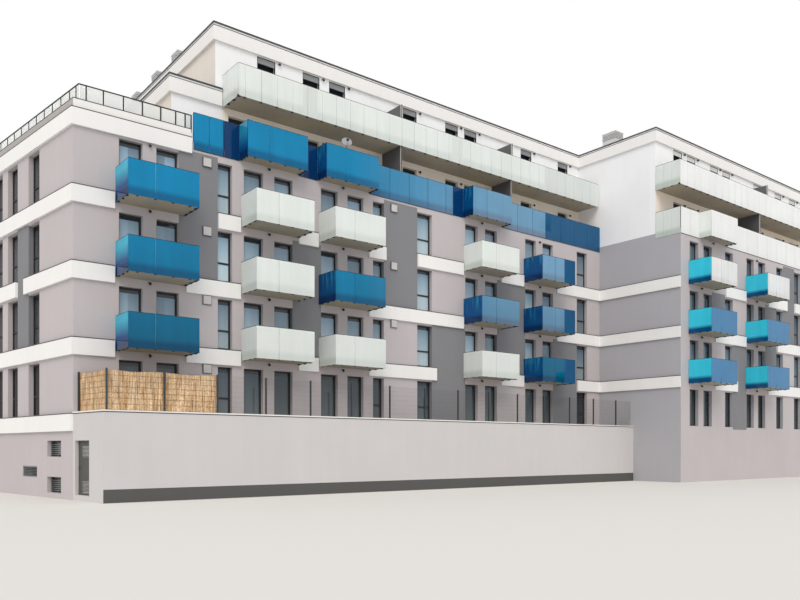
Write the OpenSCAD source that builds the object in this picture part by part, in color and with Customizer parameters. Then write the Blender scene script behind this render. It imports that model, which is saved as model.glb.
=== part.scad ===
// Apartment block of seven storeys with a set-back top, at half of its real size, in millimetres.
// +X runs along the street front, +Y goes into the block and +Z is up.
// The origin is on the ground, in the middle of the block's outline.

/* [Storeys] */
// Height from one floor to the next
storey_h = 1450; // [1400:10:1600]
// Height of the first floor above the ground
base_h = 1575; // [1500:5:1800]
// Thickness of a floor slab
slab_t = 110; // [90:5:130]
// Thickness of the outer walls
wall_t = 200; // [160:5:240]

/* [Plan] */
// Length of the near wing along the street
near_l = 16000; // [15600:50:17000]
// Length of the far wing along the street
wing_l = 9700; // [9600:50:10500]
// How far the far wing stands forward
wing_out = 2850; // [2500:10:3200]
// Depth of the block
depth = 7500; // [7200:50:8500]
// Angle of the left side off square, in degrees
slant = 7.6; // [4:0.1:9]
// Setback of the top two storeys
setback = 835; // [760:5:900]
// Start of the sixth storey from the corner
fifth_x = 2255; // [2200:5:2350]
// Start of the seventh storey from the corner
sixth_x = 3275; // [3200:5:3380]

/* [Windows] */
// Height of the sills above the floor
sill_h = 75; // [60:1:110]
// Height of the window heads above the floor
head_h = 1150; // [1080:5:1170]
// Height of the window heads in the top storey
top_head_h = 1285; // [1200:5:1290]
// Width of a balcony door
door_w = 470; // [380:5:480]
// From a balcony's edge to its first door
door_in = 70; // [50:1:100]
// From the first balcony door to the second
door_pitch = 750; // [700:5:780]
// Width of a narrow window
narrow_w = 335; // [240:5:340]
// Width of a tall window
tall_w = 500; // [380:5:520]
// Width of a window in the left side
side_w = 575; // [480:5:620]
// Width of a window in the top storeys
upper_w = 480; // [400:5:500]
// Width of a window at the back
back_w = 500; // [440:5:600]
// Distance between windows at the back
back_pitch = 2200; // [2000:50:2600]
// From the block's end to its first window at the back
back_first = 900; // [700:50:1100]
// Least wall beside a window at the back
back_margin = 300; // [250:10:500]
// Depth of the reveal outside a window frame
recess = 100; // [60:5:110]
// Depth of the plinth louvre behind the wall's face
louvre_in = 10; // [5:1:100]
// Depth of a window frame
frame_d = 40; // [30:1:50]
// Width of a window frame's bars
frame_w = 40; // [24:1:44]
// Thickness of the glass in a window
pane_t = 12; // [8:1:16]
// Height of the transom above a tall window's sill
transom_h = 390; // [320:5:450]
// Length of a lowered roller shutter
shutter_h = 150; // [120:5:300]
// Thickness of a roller shutter
shutter_t = 16; // [10:1:24]
// Gap between a roller shutter and the frame behind it
shutter_gap = 74; // [4:1:78]
// Side of a vent's cover on the wall
cover_w = 200; // [120:10:260]
// Projection of a vent's cover
cover_out = 40; // [15:1:60]
// Height of the vents above the floor
cover_z = 985; // [700:5:985]

/* [Bands] */
// Projection of the white bands
band_out = 50; // [30:1:70]
// Reach of a band below the floor level
band_below = 260; // [220:5:275]
// Gap between a band and a balcony
band_gap = 20; // [10:1:40]
// Gap behind a piece that seats on a slanted wall
seat = 0.2; // [0.1:0.1:0.5]

/* [Balconies] */
// Width of a balcony
bal_w = 1420; // [1340:5:1440]
// Projection of a balcony
bal_d = 730; // [600:5:850]
// Thickness of a balcony slab
bal_slab_t = 110; // [90:5:125]
// Step down from the floor to a balcony slab
bal_step = 15; // [10:1:25]
// Thickness of a glass panel
glass_t = 10; // [8:1:14]
// Reach of a balcony's glass below the floor level
glass_below = 140; // [130:5:170]
// Height of a balcony's glass above the floor level
glass_above = 550; // [500:5:600]
// Open joint between glass panels
joint = 8; // [5:1:12]
// From a balcony's left edge to the joint in its front
front_joint_x = 525; // [400:5:700]

/* [Terrace and gallery] */
// Height of the terrace glass above its floor
terrace_glass_top = 625; // [560:5:680]
// Reach of the terrace glass below its floor
terrace_glass_below = 145; // [110:5:160]
// Longest panel of the terrace glass
terrace_pane_l = 720; // [500:10:900]
// Longest panel at the ends of the terrace and of the galleries
side_pane_l = 300; // [250:10:600]
// From the roof terrace's parapet to the first glass
terrace_glass_gap = 50; // [40:5:200]
// Longest panel of its first stretch, beside the roof terrace
first_pane_l = 360; // [250:10:700]
// Width of the balconies that stand out from the terrace
bump_w = 1500; // [1400:5:1600]
// Projection of those balconies
bump_d = 390; // [300:5:600]
// Projection of the gallery slab from the set-back wall
gallery_d = 810; // [700:5:815]
// Start of the gallery from the corner
gallery_x = 3445; // [3400:5:3500]
// Gap between the gallery and the far wing
gallery_gap = 50; // [20:5:100]
// Thickness of the gallery slab
gallery_t = 110; // [90:5:130]
// Step down from the floor to the gallery slab
gallery_step = 30; // [15:5:60]
// Reach of the gallery glass below its slab
gallery_glass_below = 25; // [10:1:40]
// Width of the first panel of the near gallery
gallery_first = 153; // [100:1:400]
// Distance between gallery panels
gallery_pitch = 400; // [300:5:500]
// Height of the gallery glass
gallery_glass_h = 715; // [600:5:760]
// Height of a divider on the gallery
divider_h = 920; // [800:5:1100]
// Thickness of a divider
divider_t = 26; // [16:1:40]

/* [Roofs] */
// Height of the roof parapet bands
parapet_h = 365; // [330:5:400]
// Reach of the parapet bands below the roof level
eave_drop = 150; // [120:5:165]
// Projection of the roof parapet bands
eave_out = 60; // [30:1:80]
// Thickness of a coping
coping_t = 35; // [20:1:50]
// Overhang of a coping
coping_lip = 15; // [8:1:25]
// Height of the parapet round the roof terrace
low_parapet_h = 260; // [200:5:320]
// Thickness of the parapet round the roof terrace
low_parapet_t = 200; // [120:5:200]
// Length of the parapet along the street
low_parapet_l = 2350; // [2270:5:2400]
// Height of the balustrade on the parapet
rail_h = 370; // [260:5:400]
// Thickness of the balustrade's bars
rail_t = 20; // [14:1:28]
// Height of the balustrade's lower bar above the parapet
rail_foot = 40; // [20:5:80]
// From the parapet's outer face to the balustrade
rail_in = 165; // [60:5:175]
// Play round a pane of the balustrade
pane_play = 0.5; // [0.3:0.1:2]
// Distance between balustrade posts
rail_pitch = 380; // [300:5:500]
// Width of the balustrade's bays beside the near corner
rail_first = 112; // [80:1:200]
// Width of its last bay on the street
rail_last = 147; // [80:1:250]
// Side of a roof vent
stack_w = 400; // [300:10:500]
// Height of a roof vent
stack_h = 900; // [600:10:1100]
// From the wall to the roof vents beside it
stack_in = 125; // [60:5:250]
// From the far wing's corner to its roof shafts
shaft_in = 600; // [450:10:900]

/* [Garden podium] */
// Depth of the podium in front of the near wing
pod_d = 1250; // [1150:10:1500]
// Thickness of the podium walls
pod_t = 150; // [120:5:160]
// Height of the podium's edge above its deck
pod_edge_h = 75; // [60:1:110]
// Thickness of the podium's coping
pod_coping_t = 25; // [15:1:40]
// Distance between fence posts
fence_pitch = 1070; // [900:10:1200]
// Height of the fence
fence_h = 755; // [600:5:850]
// From the building's corner to the first fence post at the side
fence_in = 60; // [40:5:120]
// Side of a fence post
post_w = 30; // [20:1:40]
// Thickness of the fence's bars
bar_t = 8; // [6:1:12]
// Height of the lowest bar above the coping
bar_foot = 20; // [10:1:40]
// Uprights in a bay of the fence
bay_bars = 5; // [3:1:6]
// Thickness of the reed screens
reed_t = 14; // [8:1:20]
// Height of the reed screens
reed_h = 735; // [500:5:750]

/* [Plant room door] */
// From the corner to the doorway
doorway_x = 90; // [60:5:150]
// Width of the doorway
doorway_w = 600; // [500:5:650]
// Height of the threshold
threshold_h = 105; // [80:5:140]
// Height of the door head above the ground
door_head_z = 1130; // [1080:5:1180]
// Width of the door frame's bars
jamb_w = 25; // [18:1:35]
// Depth of the door frame
jamb_d = 50; // [40:1:60]
// Depth of the reveal outside the door
door_recess = 65; // [50:1:75]
// Thickness of the door leaf
leaf_t = 25; // [20:1:30]
// Gap round the door leaf
door_gap = 5; // [5:0.5:8]
// Radius of a hinge knuckle
knuckle_r = 6; // [4:0.5:8]
// Height of a hinge knuckle
knuckle_h = 28; // [20:1:40]
// End play between hinge knuckles
knuckle_play = 0.3; // [0.2:0.1:1]
// Length of a hinge's leaf
hinge_leaf = 14; // [8:1:20]
// From the ends of the door leaf to its hinges
hinge_in = 150; // [100:5:250]
// From the sides of the door leaf to its louvres
vent_in = 130; // [80:5:180]
// From the top of the door leaf to its upper louvre
vent_top = 70; // [40:5:120]
// From the bottom of the door leaf to its lower louvre
vent_foot = 35; // [25:5:80]
// Height of each louvre
vent_h = 225; // [150:5:280]
// Blades in each louvre of the door
blade_n = 9; // [5:1:12]
// Thickness of a louvre's blades
blade_t = 3; // [2:0.5:4]
// Slope of a louvre's blades, in degrees
blade_slope = 35; // [20:1:45]
// Radius of the door handle
handle_r = 5; // [4:0.5:8]
// Length of the door handle
handle_l = 60; // [50:1:75]
// From the leaf to the middle of the door handle
handle_out = 20; // [15:1:28]

/* [Hidden] */

// Places along the street front, from the corner, and along the far wing, from its own corner
balcony_x = [790, 3485, 5470, 10085, 12465];
narrow_x = [2945, 7050];
tall_x = [8465, 14870];
wing_balcony_x = [400, 3700, 8000];
wing_single_x = [2450, 5750];
wing_tall_x = 7025;
upper_x = [4320, 5550, 6310, 8655, 10175, 10900, 13250, 14965];
upper_first_x = 3595;
wing_upper_x = [950, 1700, 3050, 3800, 5850, 7370, 8450];
side_x = [1610, 2785, 3675, 4850, 6025];
plinth_x = 550;
plinth_z = [105, 820];
plinth_w = 665;
plinth_h = 315;
louvre_x = 1735;
louvre_z = 390;
louvre_w = 765;
louvre_h = 230;
louvre_n = 6;
bump_x = [3445, 5440, 10070];
wing_bump_x = 985;
divider_x = [7965, 12005];
wing_divider_x = [4725, 5200];
vent_x = [2595, 7590];
// Ends of bands that stop short on the wall, on the front, the far wing and the left side
band_stop_x = [7435, 9100];
wing_band_stop_x = [3150, 6450];
side_band_stop_x = [2340, 2775];
// Depths of the vents beside the roof's left edge
stack_y = [3750, 5150, 6700];
pale_balconies = [[1, 2], [1, 3], [1, 4], [2, 2], [2, 4], [3, 2], [3, 4]];

total_l = near_l + wing_l;
open_h = head_h - sill_h;
band_h = band_below + sill_h;
pod_top = base_h + pod_edge_h;
upper_z = floor_z(5);
roof_z = floor_z(7);
eave_z = roof_z - eave_drop;
low_top = floor_z(6) - eave_drop;
low_edge_end = gallery_x - glass_t - coping_lip;
eps = 1;

function floor_z(n) = base_h + (n - 1) * storey_h;
// Outer face of the slanted left side at a depth y, moved inwards by d
function left_x(y, d = 0) = -y * tan(slant) + d / cos(slant);
// A straight stretch of the left side's wall between two depths and two distances from its face
function left_strip(y0, y1, d0, d1) =
    [[left_x(y0, d0), y0], [left_x(y0, d1), y0], [left_x(y1, d1), y1], [left_x(y1, d0), y1]];
// Inside outline of the lower storeys, and outlines of the storeys above that start at x, grown by o
floor_plan = [[left_x(wall_t, wall_t), wall_t], [near_l + wall_t, wall_t],
    [near_l + wall_t, wall_t - wing_out], [total_l - wall_t, wall_t - wing_out],
    [total_l - wall_t, depth - wall_t], [left_x(depth - wall_t, wall_t), depth - wall_t]];
// Inside outline of the garden podium
podium_plan = [[left_x(-pod_d + pod_t, pod_t + seat), -pod_d + pod_t], [near_l, -pod_d + pod_t],
    [near_l, 0], [left_x(0, pod_t + seat), 0]];
function upper_plan(x, o, end_o) = [[x - o, setback - o], [near_l - o, setback - o],
    [near_l - o, setback - wing_out - o], [total_l + end_o, setback - wing_out - o],
    [total_l + end_o, depth + o], [x - o, depth + o]];

min_x = left_x(depth + band_out, -band_out);
min_y = -wing_out - bal_d;
max_y = depth + eave_out + coping_lip;
centre = [(min_x + total_l) / 2, (min_y + max_y) / 2, 0];

// Each opening is [x, z, width, height, transom height or 0] on the outer face of its wall
lower = [2, 3, 4];
function door_pair(x, n) = [for (i = [0, 1])
    [x + door_in + i * door_pitch, floor_z(n) + sill_h, door_w, open_h, 0]];
front_openings = [for (n = [1 : 4]) each concat(
    [for (x = balcony_x) each door_pair(x, n)],
    [for (x = narrow_x) [x, floor_z(n) + sill_h, narrow_w, open_h, transom_h]],
    [for (x = tall_x) [x, floor_z(n) + sill_h, tall_w, open_h, transom_h]])];
wing_openings = [for (n = [1 : 4]) each concat(
    [for (x = wing_balcony_x) each door_pair(x, n)],
    [for (x = wing_single_x) [x, floor_z(n) + sill_h, door_w, open_h, 0]],
    [[wing_tall_x, floor_z(n) + sill_h, tall_w, open_h, transom_h]])];
side_openings = [for (n = [1 : 4], x = side_x)
    [-x - side_w, floor_z(n) + sill_h, side_w, open_h, transom_h]];
plinth_openings = [for (z = plinth_z) [-plinth_x - plinth_w, z, plinth_w, plinth_h, 0]];
louvre_opening = [-louvre_x - louvre_w, louvre_z, louvre_w, louvre_h, 0];
upper_openings = concat(
    [for (x = concat([upper_first_x], upper_x)) [x, upper_z + sill_h, upper_w, open_h, 0]],
    [for (x = upper_x) [x, floor_z(6) + sill_h, upper_w, top_head_h - sill_h, 0]]);
wing_upper_openings = [for (n = [5, 6], x = wing_upper_x)
    [x, floor_z(n) + sill_h, upper_w, (n == 6 ? top_head_h : head_h) - sill_h, 0]];
back_n = floor((total_l - back_first - back_w) / back_pitch);
back_openings = [for (n = [1 : 6], i = [0 : back_n])
    let (x = back_first + i * back_pitch)
    if (total_l - x - back_w > back_margin + (n < 5 ? 0 : n == 5 ? fifth_x : sixth_x))
    [x, floor_z(n) + sill_h, back_w, (n == 6 ? top_head_h : head_h) - sill_h, 0]];

// Each band is [floor, start, end] on the outer face of its wall
function bal_end(i) = balcony_x[i] + bal_w + band_gap;
function bal_start(i) = balcony_x[i] - band_gap;
front_band_runs = [
    for (n = [1, 2]) [n + 1, bal_end(0), bal_start(1)],
    [4, narrow_x[0], bal_start(1)],
    for (n = [2, 4]) [n, bal_end(1), bal_start(2)],
    [4, bal_end(2), band_stop_x[0]], [3, bal_end(2), bal_start(3)], [2, bal_end(2), band_stop_x[1]],
    [4, tall_x[0], bal_start(3)],
    for (n = [2, 4]) [n, bal_end(3), bal_start(4)],
    for (n = [3, 4]) [n, bal_end(4), near_l - band_out],
    [2, tall_x[1], near_l - band_out]];
function wing_end(i) = wing_balcony_x[i] + bal_w + band_gap;
function wing_start(i) = wing_balcony_x[i] - band_gap;
wing_band_runs = [[4, wing_single_x[0], wing_start(1)], [4, wing_end(1), wing_band_stop_x[1]],
    [4, wing_tall_x, wing_start(2)], [3, wing_end(0), wing_start(1)], [3, wing_single_x[1], wing_start(2)],
    [2, wing_end(0), wing_band_stop_x[0]], [2, wing_end(1), wing_start(2)],
    for (n = lower) [n, wing_end(2), wing_l]];

// Moves what is drawn from the near corner to the block's own origin
module place() {
    translate(-centre) children();
}

// The outer faces of the walls: x along the wall from left to right, y into the wall
module left_face() {
    rotate([0, 0, slant - 90]) children();
}

module wing_side_face() {
    translate([near_l, 0, 0]) rotate([0, 0, -90]) children();
}

module wing_face() {
    translate([near_l, -wing_out, 0]) children();
}

module upper_face() {
    translate([0, setback, 0]) children();
}

module wing_upper_face() {
    translate([near_l, setback - wing_out, 0]) children();
}

module back_face() {
    translate([total_l, depth, 0]) rotate([0, 0, 180]) children();
}

// A flat shape standing on z, with height h
module slab(z, h, points) {
    translate([0, 0, z]) linear_extrude(h) polygon(points);
}

// A wall's outline drawn in x and z, and given its thickness
module wall_sheet(points) {
    translate([0, wall_t, 0]) rotate([90, 0, 0]) linear_extrude(wall_t) polygon(points);
}

module holes(openings) {
    for (o = openings) translate([o[0], -eps, o[1]]) cube([o[2], wall_t + 2 * eps, o[3]]);
}

// A window frame in its opening, with a transom bar in front of the glass
module frames(openings) {
    for (o = openings) translate([o[0], recess, o[1]]) {
        difference() {
            cube([o[2], frame_d, o[3]]);
            translate([frame_w, -eps, frame_w])
                cube([o[2] - 2 * frame_w, frame_d + 2 * eps, o[3] - 2 * frame_w]);
        }
        if (o[4] > 0) translate([frame_w, 0, o[4]])
            cube([o[2] - 2 * frame_w, (frame_d - pane_t) / 2, frame_w]);
    }
}

module panes(openings) {
    for (o = openings) translate([o[0] + frame_w, recess + (frame_d - pane_t) / 2, o[1] + frame_w])
        cube([o[2] - 2 * frame_w, pane_t, o[3] - 2 * frame_w]);
}

module bands(runs) {
    for (r = runs) translate([r[1], -band_out, floor_z(r[0]) - band_below])
        cube([r[2] - r[1], band_out, band_h]);
}

// Floors and roof

module ground_floor() {
    color("#8d8d8a") place() {
        slab(0, slab_t, floor_plan);
        slab(0, slab_t, podium_plan);
    }
}

module floor_slabs() {
    color("#9a9894") place() for (n = [1 : 4]) slab(floor_z(n) - slab_t, slab_t, floor_plan);
}

module terrace_floor() {
    color("#9a9894") place() slab(upper_z - slab_t, slab_t, floor_plan);
}

module gallery_floor() {
    color("#9a9894") place() slab(floor_z(6) - slab_t, slab_t, upper_plan(fifth_x, -wall_t, -wall_t));
}

module roof_slab() {
    color("#7d7d7d") place() slab(roof_z - slab_t, slab_t, upper_plan(sixth_x, -wall_t, -wall_t));
}

// Garden podium and its plant room doorway

module podium_front_wall() {
    color("#c9c4c2") place() slab(0, pod_top, [[left_x(-pod_d), -pod_d], [near_l, -pod_d],
        [near_l, -pod_d + pod_t], [left_x(-pod_d + pod_t), -pod_d + pod_t]]);
}

module podium_side_wall() {
    color("#c9c4c2") place() difference() {
        slab(0, pod_top, left_strip(-pod_d + pod_t, 0, 0, pod_t));
        left_face() translate([doorway_x, -eps, -eps]) cube([doorway_w, pod_t + 2 * eps, pod_top + 2 * eps]);
    }
}

module doorway_head_and_sill() {
    color("#c9c4c2") place() left_face() translate([doorway_x, 0, 0]) {
        cube([doorway_w, pod_t, threshold_h]);
        translate([0, 0, door_head_z]) cube([doorway_w, pod_t, pod_top - door_head_z - seat]);
    }
}

module podium_deck() {
    color("#a9a59d") place() slab(base_h - slab_t, slab_t, podium_plan);
}

module podium_coping() {
    out = coping_lip;
    color("#e6e3de") place() slab(pod_top, pod_coping_t, [
        [left_x(-pod_d - out, -out), -pod_d - out], [near_l, -pod_d - out],
        [near_l, -pod_d + pod_t + out], [left_x(-pod_d + pod_t + out, pod_t + out), -pod_d + pod_t + out],
        [left_x(0, pod_t + out), 0], [left_x(0, -out), 0]]);
}

// The door leaf hangs on two hinges at its right side and opens outwards
door_x0 = doorway_x + jamb_w + door_gap;
door_x1 = doorway_x + doorway_w - jamb_w - door_gap;
door_z0 = threshold_h + door_gap;
door_z1 = door_head_z - jamb_w - door_gap;
hinge_x = door_x1 + door_gap / 2;
hinge_y = door_recess - knuckle_r - 1;
hinge_z = [door_z0 + hinge_in, door_z1 - hinge_in];

module plant_door_frame() {
    color("#6b6d6e") place() left_face() {
        difference() {
            translate([doorway_x, door_recess, threshold_h])
                cube([doorway_w, jamb_d, door_head_z - threshold_h]);
            translate([doorway_x + jamb_w, door_recess - eps, threshold_h - eps])
                cube([doorway_w - 2 * jamb_w, jamb_d + 2 * eps, door_head_z - threshold_h - jamb_w + eps]);
        }
        for (z = hinge_z, s = [-1, 1]) translate([0, 0, z + s * (knuckle_h + knuckle_play)]) {
            translate([hinge_x, hinge_y, -knuckle_h / 2]) cylinder(r = knuckle_r, h = knuckle_h, $fn = 24);
            translate([hinge_x, hinge_y - 1, -knuckle_h / 2])
                cube([knuckle_r + hinge_leaf, door_recess - hinge_y + 1 + eps, knuckle_h]);
        }
    }
}

// Sloping blades that fill an opening of width w and height h in a leaf of thickness t
module louvre(w, h, t, n) {
    pitch = h / n;
    for (i = [0 : n - 1]) translate([0, 0, (i + 0.5) * pitch]) rotate([-blade_slope, 0, 0])
        translate([-eps, -t / 2, -blade_t / 2]) cube([w + 2 * eps, t, blade_t]);
}

module plant_door() {
    w = door_x1 - door_x0;
    h = door_z1 - door_z0;
    vent_w = w - 2 * vent_in;
    vents = [vent_foot, h - vent_top - vent_h];
    color("#6b6d6e") place() left_face() {
        translate([door_x0, door_recess, door_z0]) {
            difference() {
                cube([w, leaf_t, h]);
                for (z = vents) translate([vent_in, -eps, z]) cube([vent_w, leaf_t + 2 * eps, vent_h]);
            }
            for (z = vents) translate([vent_in, leaf_t / 2, z]) louvre(vent_w, vent_h, leaf_t, blade_n);
        }
        for (z = hinge_z) translate([0, 0, z - knuckle_h / 2]) {
            translate([hinge_x, hinge_y, 0]) cylinder(r = knuckle_r, h = knuckle_h, $fn = 24);
            translate([hinge_x - knuckle_r - hinge_leaf, hinge_y - 1, 0])
                cube([knuckle_r + hinge_leaf, door_recess - hinge_y + 1 + eps, knuckle_h]);
        }
    }
}

// A lever on a long plate, on the side of the leaf away from the hinges
module plant_door_handle() {
    plate = [4 * handle_r, 3, 22 * handle_r];
    color("#2c2d2f") place() left_face()
        translate([door_x0 + 4 * handle_r, door_recess, (door_z0 + door_z1) / 2]) {
            translate([-plate[0] / 2, -plate[1], -plate[2] / 2]) cube(plate);
            translate([0, -handle_out, plate[2] / 5]) {
                rotate([-90, 0, 0]) cylinder(r = handle_r, h = handle_out - plate[1] / 2, $fn = 20);
                rotate([0, 90, 0]) cylinder(r = handle_r, h = handle_l, $fn = 20);
            }
        }
}

// Outer walls of the lower storeys

module front_wall() {
    color("#b2acac") place() difference() {
        slab(0, upper_z, [[left_x(0), 0], [near_l, 0], [near_l, wall_t], [left_x(wall_t), wall_t]]);
        holes(front_openings);
    }
}

module left_wall() {
    color("#b2acac") place() difference() {
        slab(0, upper_z, left_strip(wall_t, depth - wall_t, 0, wall_t));
        left_face() holes(concat(side_openings, plinth_openings, [louvre_opening]));
    }
}

module wing_side_wall() {
    color("#a3a0a6") place() translate([near_l, wall_t - wing_out, 0]) cube([wall_t, wing_out, upper_z]);
}

module wing_front_wall() {
    color("#b2acac") place() wing_face() difference() {
        wall_sheet([[0, 0], [wing_l, 0], [wing_l, upper_z], [0, upper_z]]);
        holes(wing_openings);
    }
}

module party_wall() {
    color("#c9c4c2") place() translate([total_l - wall_t, 0, 0]) rotate([90, 0, 90]) linear_extrude(wall_t)
        polygon([[wall_t - wing_out, 0], [depth - wall_t, 0], [depth - wall_t, eave_z],
            [setback + wall_t - wing_out, eave_z], [setback + wall_t - wing_out, upper_z],
            [wall_t - wing_out, upper_z]]);
}

module back_wall() {
    color("#b2acac") place() difference() {
        slab(0, eave_z, [[left_x(depth), depth], [left_x(depth - wall_t), depth - wall_t],
            [total_l, depth - wall_t], [total_l, depth]]);
        translate([left_x(depth) - eps, depth - wall_t - eps, upper_z])
            cube([fifth_x - left_x(depth) + eps, wall_t + 2 * eps, eave_z]);
        translate([fifth_x - eps, depth - wall_t - eps, low_top])
            cube([sixth_x - fifth_x + eps, wall_t + 2 * eps, eave_z]);
        back_face() holes(back_openings);
    }
}

// Outer walls of the two set-back storeys

module upper_front_walls() {
    color("#f0eeea") place() {
        upper_face() difference() {
            wall_sheet([[fifth_x, upper_z], [near_l, upper_z], [near_l, eave_z], [sixth_x, eave_z],
                [sixth_x, low_top], [fifth_x, low_top]]);
            holes(upper_openings);
        }
        wing_upper_face() difference() {
            wall_sheet([[0, upper_z], [wing_l, upper_z], [wing_l, eave_z], [0, eave_z]]);
            holes(wing_upper_openings);
        }
    }
}

module upper_side_walls() {
    run = depth - setback - 2 * wall_t;
    color("#f0eeea") place() {
        translate([fifth_x, setback + wall_t, upper_z]) cube([wall_t, run, low_top - upper_z]);
        translate([sixth_x, setback + wall_t, floor_z(6)]) cube([wall_t, run, eave_z - floor_z(6)]);
        translate([near_l, setback + wall_t - wing_out, upper_z]) cube([wall_t, wing_out, eave_z - upper_z]);
    }
}

// White bands at the floor levels

module front_bands() {
    color("#f2f0ec") place() {
        bands(front_band_runs);
        for (n = [2 : 5]) slab(floor_z(n) - band_below, band_h, [[left_x(0, -band_out), 0],
            [left_x(-band_out, -band_out), -band_out],
            [n == 5 ? low_parapet_l : bal_start(0), -band_out], [n == 5 ? low_parapet_l : bal_start(0), 0]]);
        wing_face() bands(wing_band_runs);
        for (n = [1 : 5]) slab(floor_z(n) - band_below, band_h, [[left_x(depth, -band_out), depth],
            [total_l, depth], [total_l, depth + band_out],
            [left_x(depth + band_out, -band_out), depth + band_out]]);
    }
}

module side_bands() {
    gap_y = side_band_stop_x * cos(slant);
    color("#f2f0ec") place() {
        for (n = [1, 2, 4, 5]) slab(floor_z(n) - band_below, band_h, left_strip(0, depth, -band_out, -seat));
        slab(floor_z(3) - band_below, band_h, left_strip(0, gap_y[0], -band_out, -seat));
        slab(floor_z(3) - band_below, band_h, left_strip(gap_y[1], depth, -band_out, -seat));
        wing_side_face() bands([for (n = lower) [n, 0, wing_out]]);
    }
}

// Windows

module front_window_frames() {
    color("#282a2c") place() {
        frames(front_openings);
        wing_face() frames(wing_openings);
        upper_face() frames(upper_openings);
        wing_upper_face() frames(wing_upper_openings);
    }
}

module front_window_glass() {
    color("#6f8794") place() {
        panes(front_openings);
        wing_face() panes(wing_openings);
        upper_face() panes(upper_openings);
        wing_upper_face() panes(wing_upper_openings);
    }
}

module rear_window_frames() {
    color("#282a2c") place() {
        left_face() frames(concat(side_openings, plinth_openings));
        back_face() frames(back_openings);
    }
}

module rear_window_glass() {
    color("#6f8794") place() {
        left_face() panes(concat(side_openings, plinth_openings));
        back_face() panes(back_openings);
    }
}

module shutters(places) {
    for (x = places) translate([x, recess - shutter_gap - shutter_t, floor_z(6) + top_head_h - shutter_h])
        cube([upper_w, shutter_t, shutter_h]);
}

module roller_shutters() {
    color("#8f9294") place() {
        upper_face() shutters(upper_x);
        wing_upper_face() shutters(wing_upper_x);
    }
}

module plinth_louvre() {
    rim = frame_w / 2;
    color("#9a9c9d") place() left_face() translate([-louvre_x - louvre_w, louvre_in, louvre_z]) {
        difference() {
            cube([louvre_w, frame_d, louvre_h]);
            translate([rim, -eps, rim]) cube([louvre_w - 2 * rim, frame_d + 2 * eps, louvre_h - 2 * rim]);
        }
        translate([rim, frame_d / 2, rim]) louvre(louvre_w - 2 * rim, louvre_h - 2 * rim, leaf_t, louvre_n);
    }
}

module wall_vents() {
    color("#c4c2c0") place() for (n = [1 : 4]) for (x = n == 1 ? [vent_x[0]] : vent_x)
        translate([x, -cover_out, floor_z(n) + cover_z]) cube([cover_w, cover_out, cover_w]);
}

// Parapets, copings and vents of the roofs

// Three sides of the lower roof's edge: along the front to the gallery, and round to the storey above it
function low_edge(o, i) = [[low_edge_end, setback - o], [fifth_x - o, setback - o], [fifth_x - o, depth + o],
    [sixth_x, depth + o], [sixth_x, depth - i], [fifth_x + i, depth - i], [fifth_x + i, setback + i],
    [sixth_x, setback + i], [sixth_x, setback], [low_edge_end, setback]];

module roof_parapets() {
    color("#f0eeea") place() {
        difference() {
            slab(eave_z, parapet_h, upper_plan(sixth_x, eave_out, 0));
            slab(eave_z - eps, parapet_h + 2 * eps, upper_plan(sixth_x, -wall_t, -wall_t));
        }
        slab(low_top, parapet_h, low_edge(eave_out, wall_t));
    }
}

module copings() {
    top = eave_z + parapet_h;
    out = eave_out + coping_lip;
    in = wall_t + coping_lip;
    color("#555555") place() {
        difference() {
            slab(top, coping_t, upper_plan(sixth_x, out, 0));
            slab(top - eps, coping_t + 2 * eps, upper_plan(sixth_x, -in, -in));
        }
        slab(low_top + parapet_h, coping_t, low_edge(out, in));
    }
}

module roof_vents() {
    color("#d8d6d2") place() {
        for (y = stack_y) vent_stack([sixth_x + wall_t + stack_in, y], [stack_w, stack_w], stack_h);
        vent_stack([near_l + shaft_in, -setback / 5], [stack_w, 5 * stack_w / 4], stack_h);
        vent_stack([near_l + shaft_in, setback], [stack_w, 5 * stack_w], stack_h / 3);
    }
}

module vent_stack(corner, size, h) {
    translate([corner[0], corner[1], roof_z]) {
        cube([size[0], size[1], h]);
        translate([-coping_lip, -coping_lip, h])
            cube([size[0] + 2 * coping_lip, size[1] + 2 * coping_lip, coping_t]);
    }
}

// Balconies

module balcony_slab(x, z, w = bal_w, d = bal_d) {
    translate([x + glass_t, -d + glass_t, z]) cube([w - 2 * glass_t, d - glass_t, bal_slab_t]);
}

// Glass round a balcony: two panels in front and one at each side, hung on the slab's edges
module balcony_glass(x, z, h, w = bal_w, d = bal_d) {
    for (s = [0, w - glass_t])
        translate([x + s, -d + glass_t + joint, z]) cube([glass_t, d - glass_t - 2 * joint, h]);
    translate([x, -d, z]) cube([front_joint_x, glass_t, h]);
    translate([x + front_joint_x + joint, -d, z]) cube([w - front_joint_x - joint, glass_t, h]);
}

function is_pale(i, n) = len([for (p = pale_balconies) if (p == [i, n]) 1]) > 0;

module balcony_slabs() {
    step = bal_step + bal_slab_t;
    color("#a29e94") place() {
        for (n = lower, x = balcony_x) balcony_slab(x, floor_z(n) - step);
        for (n = lower, x = wing_balcony_x) wing_face() balcony_slab(x, floor_z(n) - step);
        for (x = bump_x) balcony_slab(x, upper_z - step, bump_w, bump_d);
        wing_face() balcony_slab(wing_bump_x, upper_z - step, bump_w, bump_d);
    }
}

// Lower edge and height of the terrace's glass, and of the glass at the balconies that stand out from it
terrace_glass_z = upper_z - terrace_glass_below;
terrace_glass_h = terrace_glass_top + terrace_glass_below;

// Flat glass on the wall's face between x0 and x1, in panels of equal length
module glass_run(x0, x1, z, h, longest) {
    n = max(1, ceil((x1 - x0) / longest));
    pitch = (x1 - x0) / n;
    for (i = [0 : n - 1]) translate([x0 + i * pitch + joint / 2, -glass_t, z])
        cube([pitch - joint, glass_t, h]);
}

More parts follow.
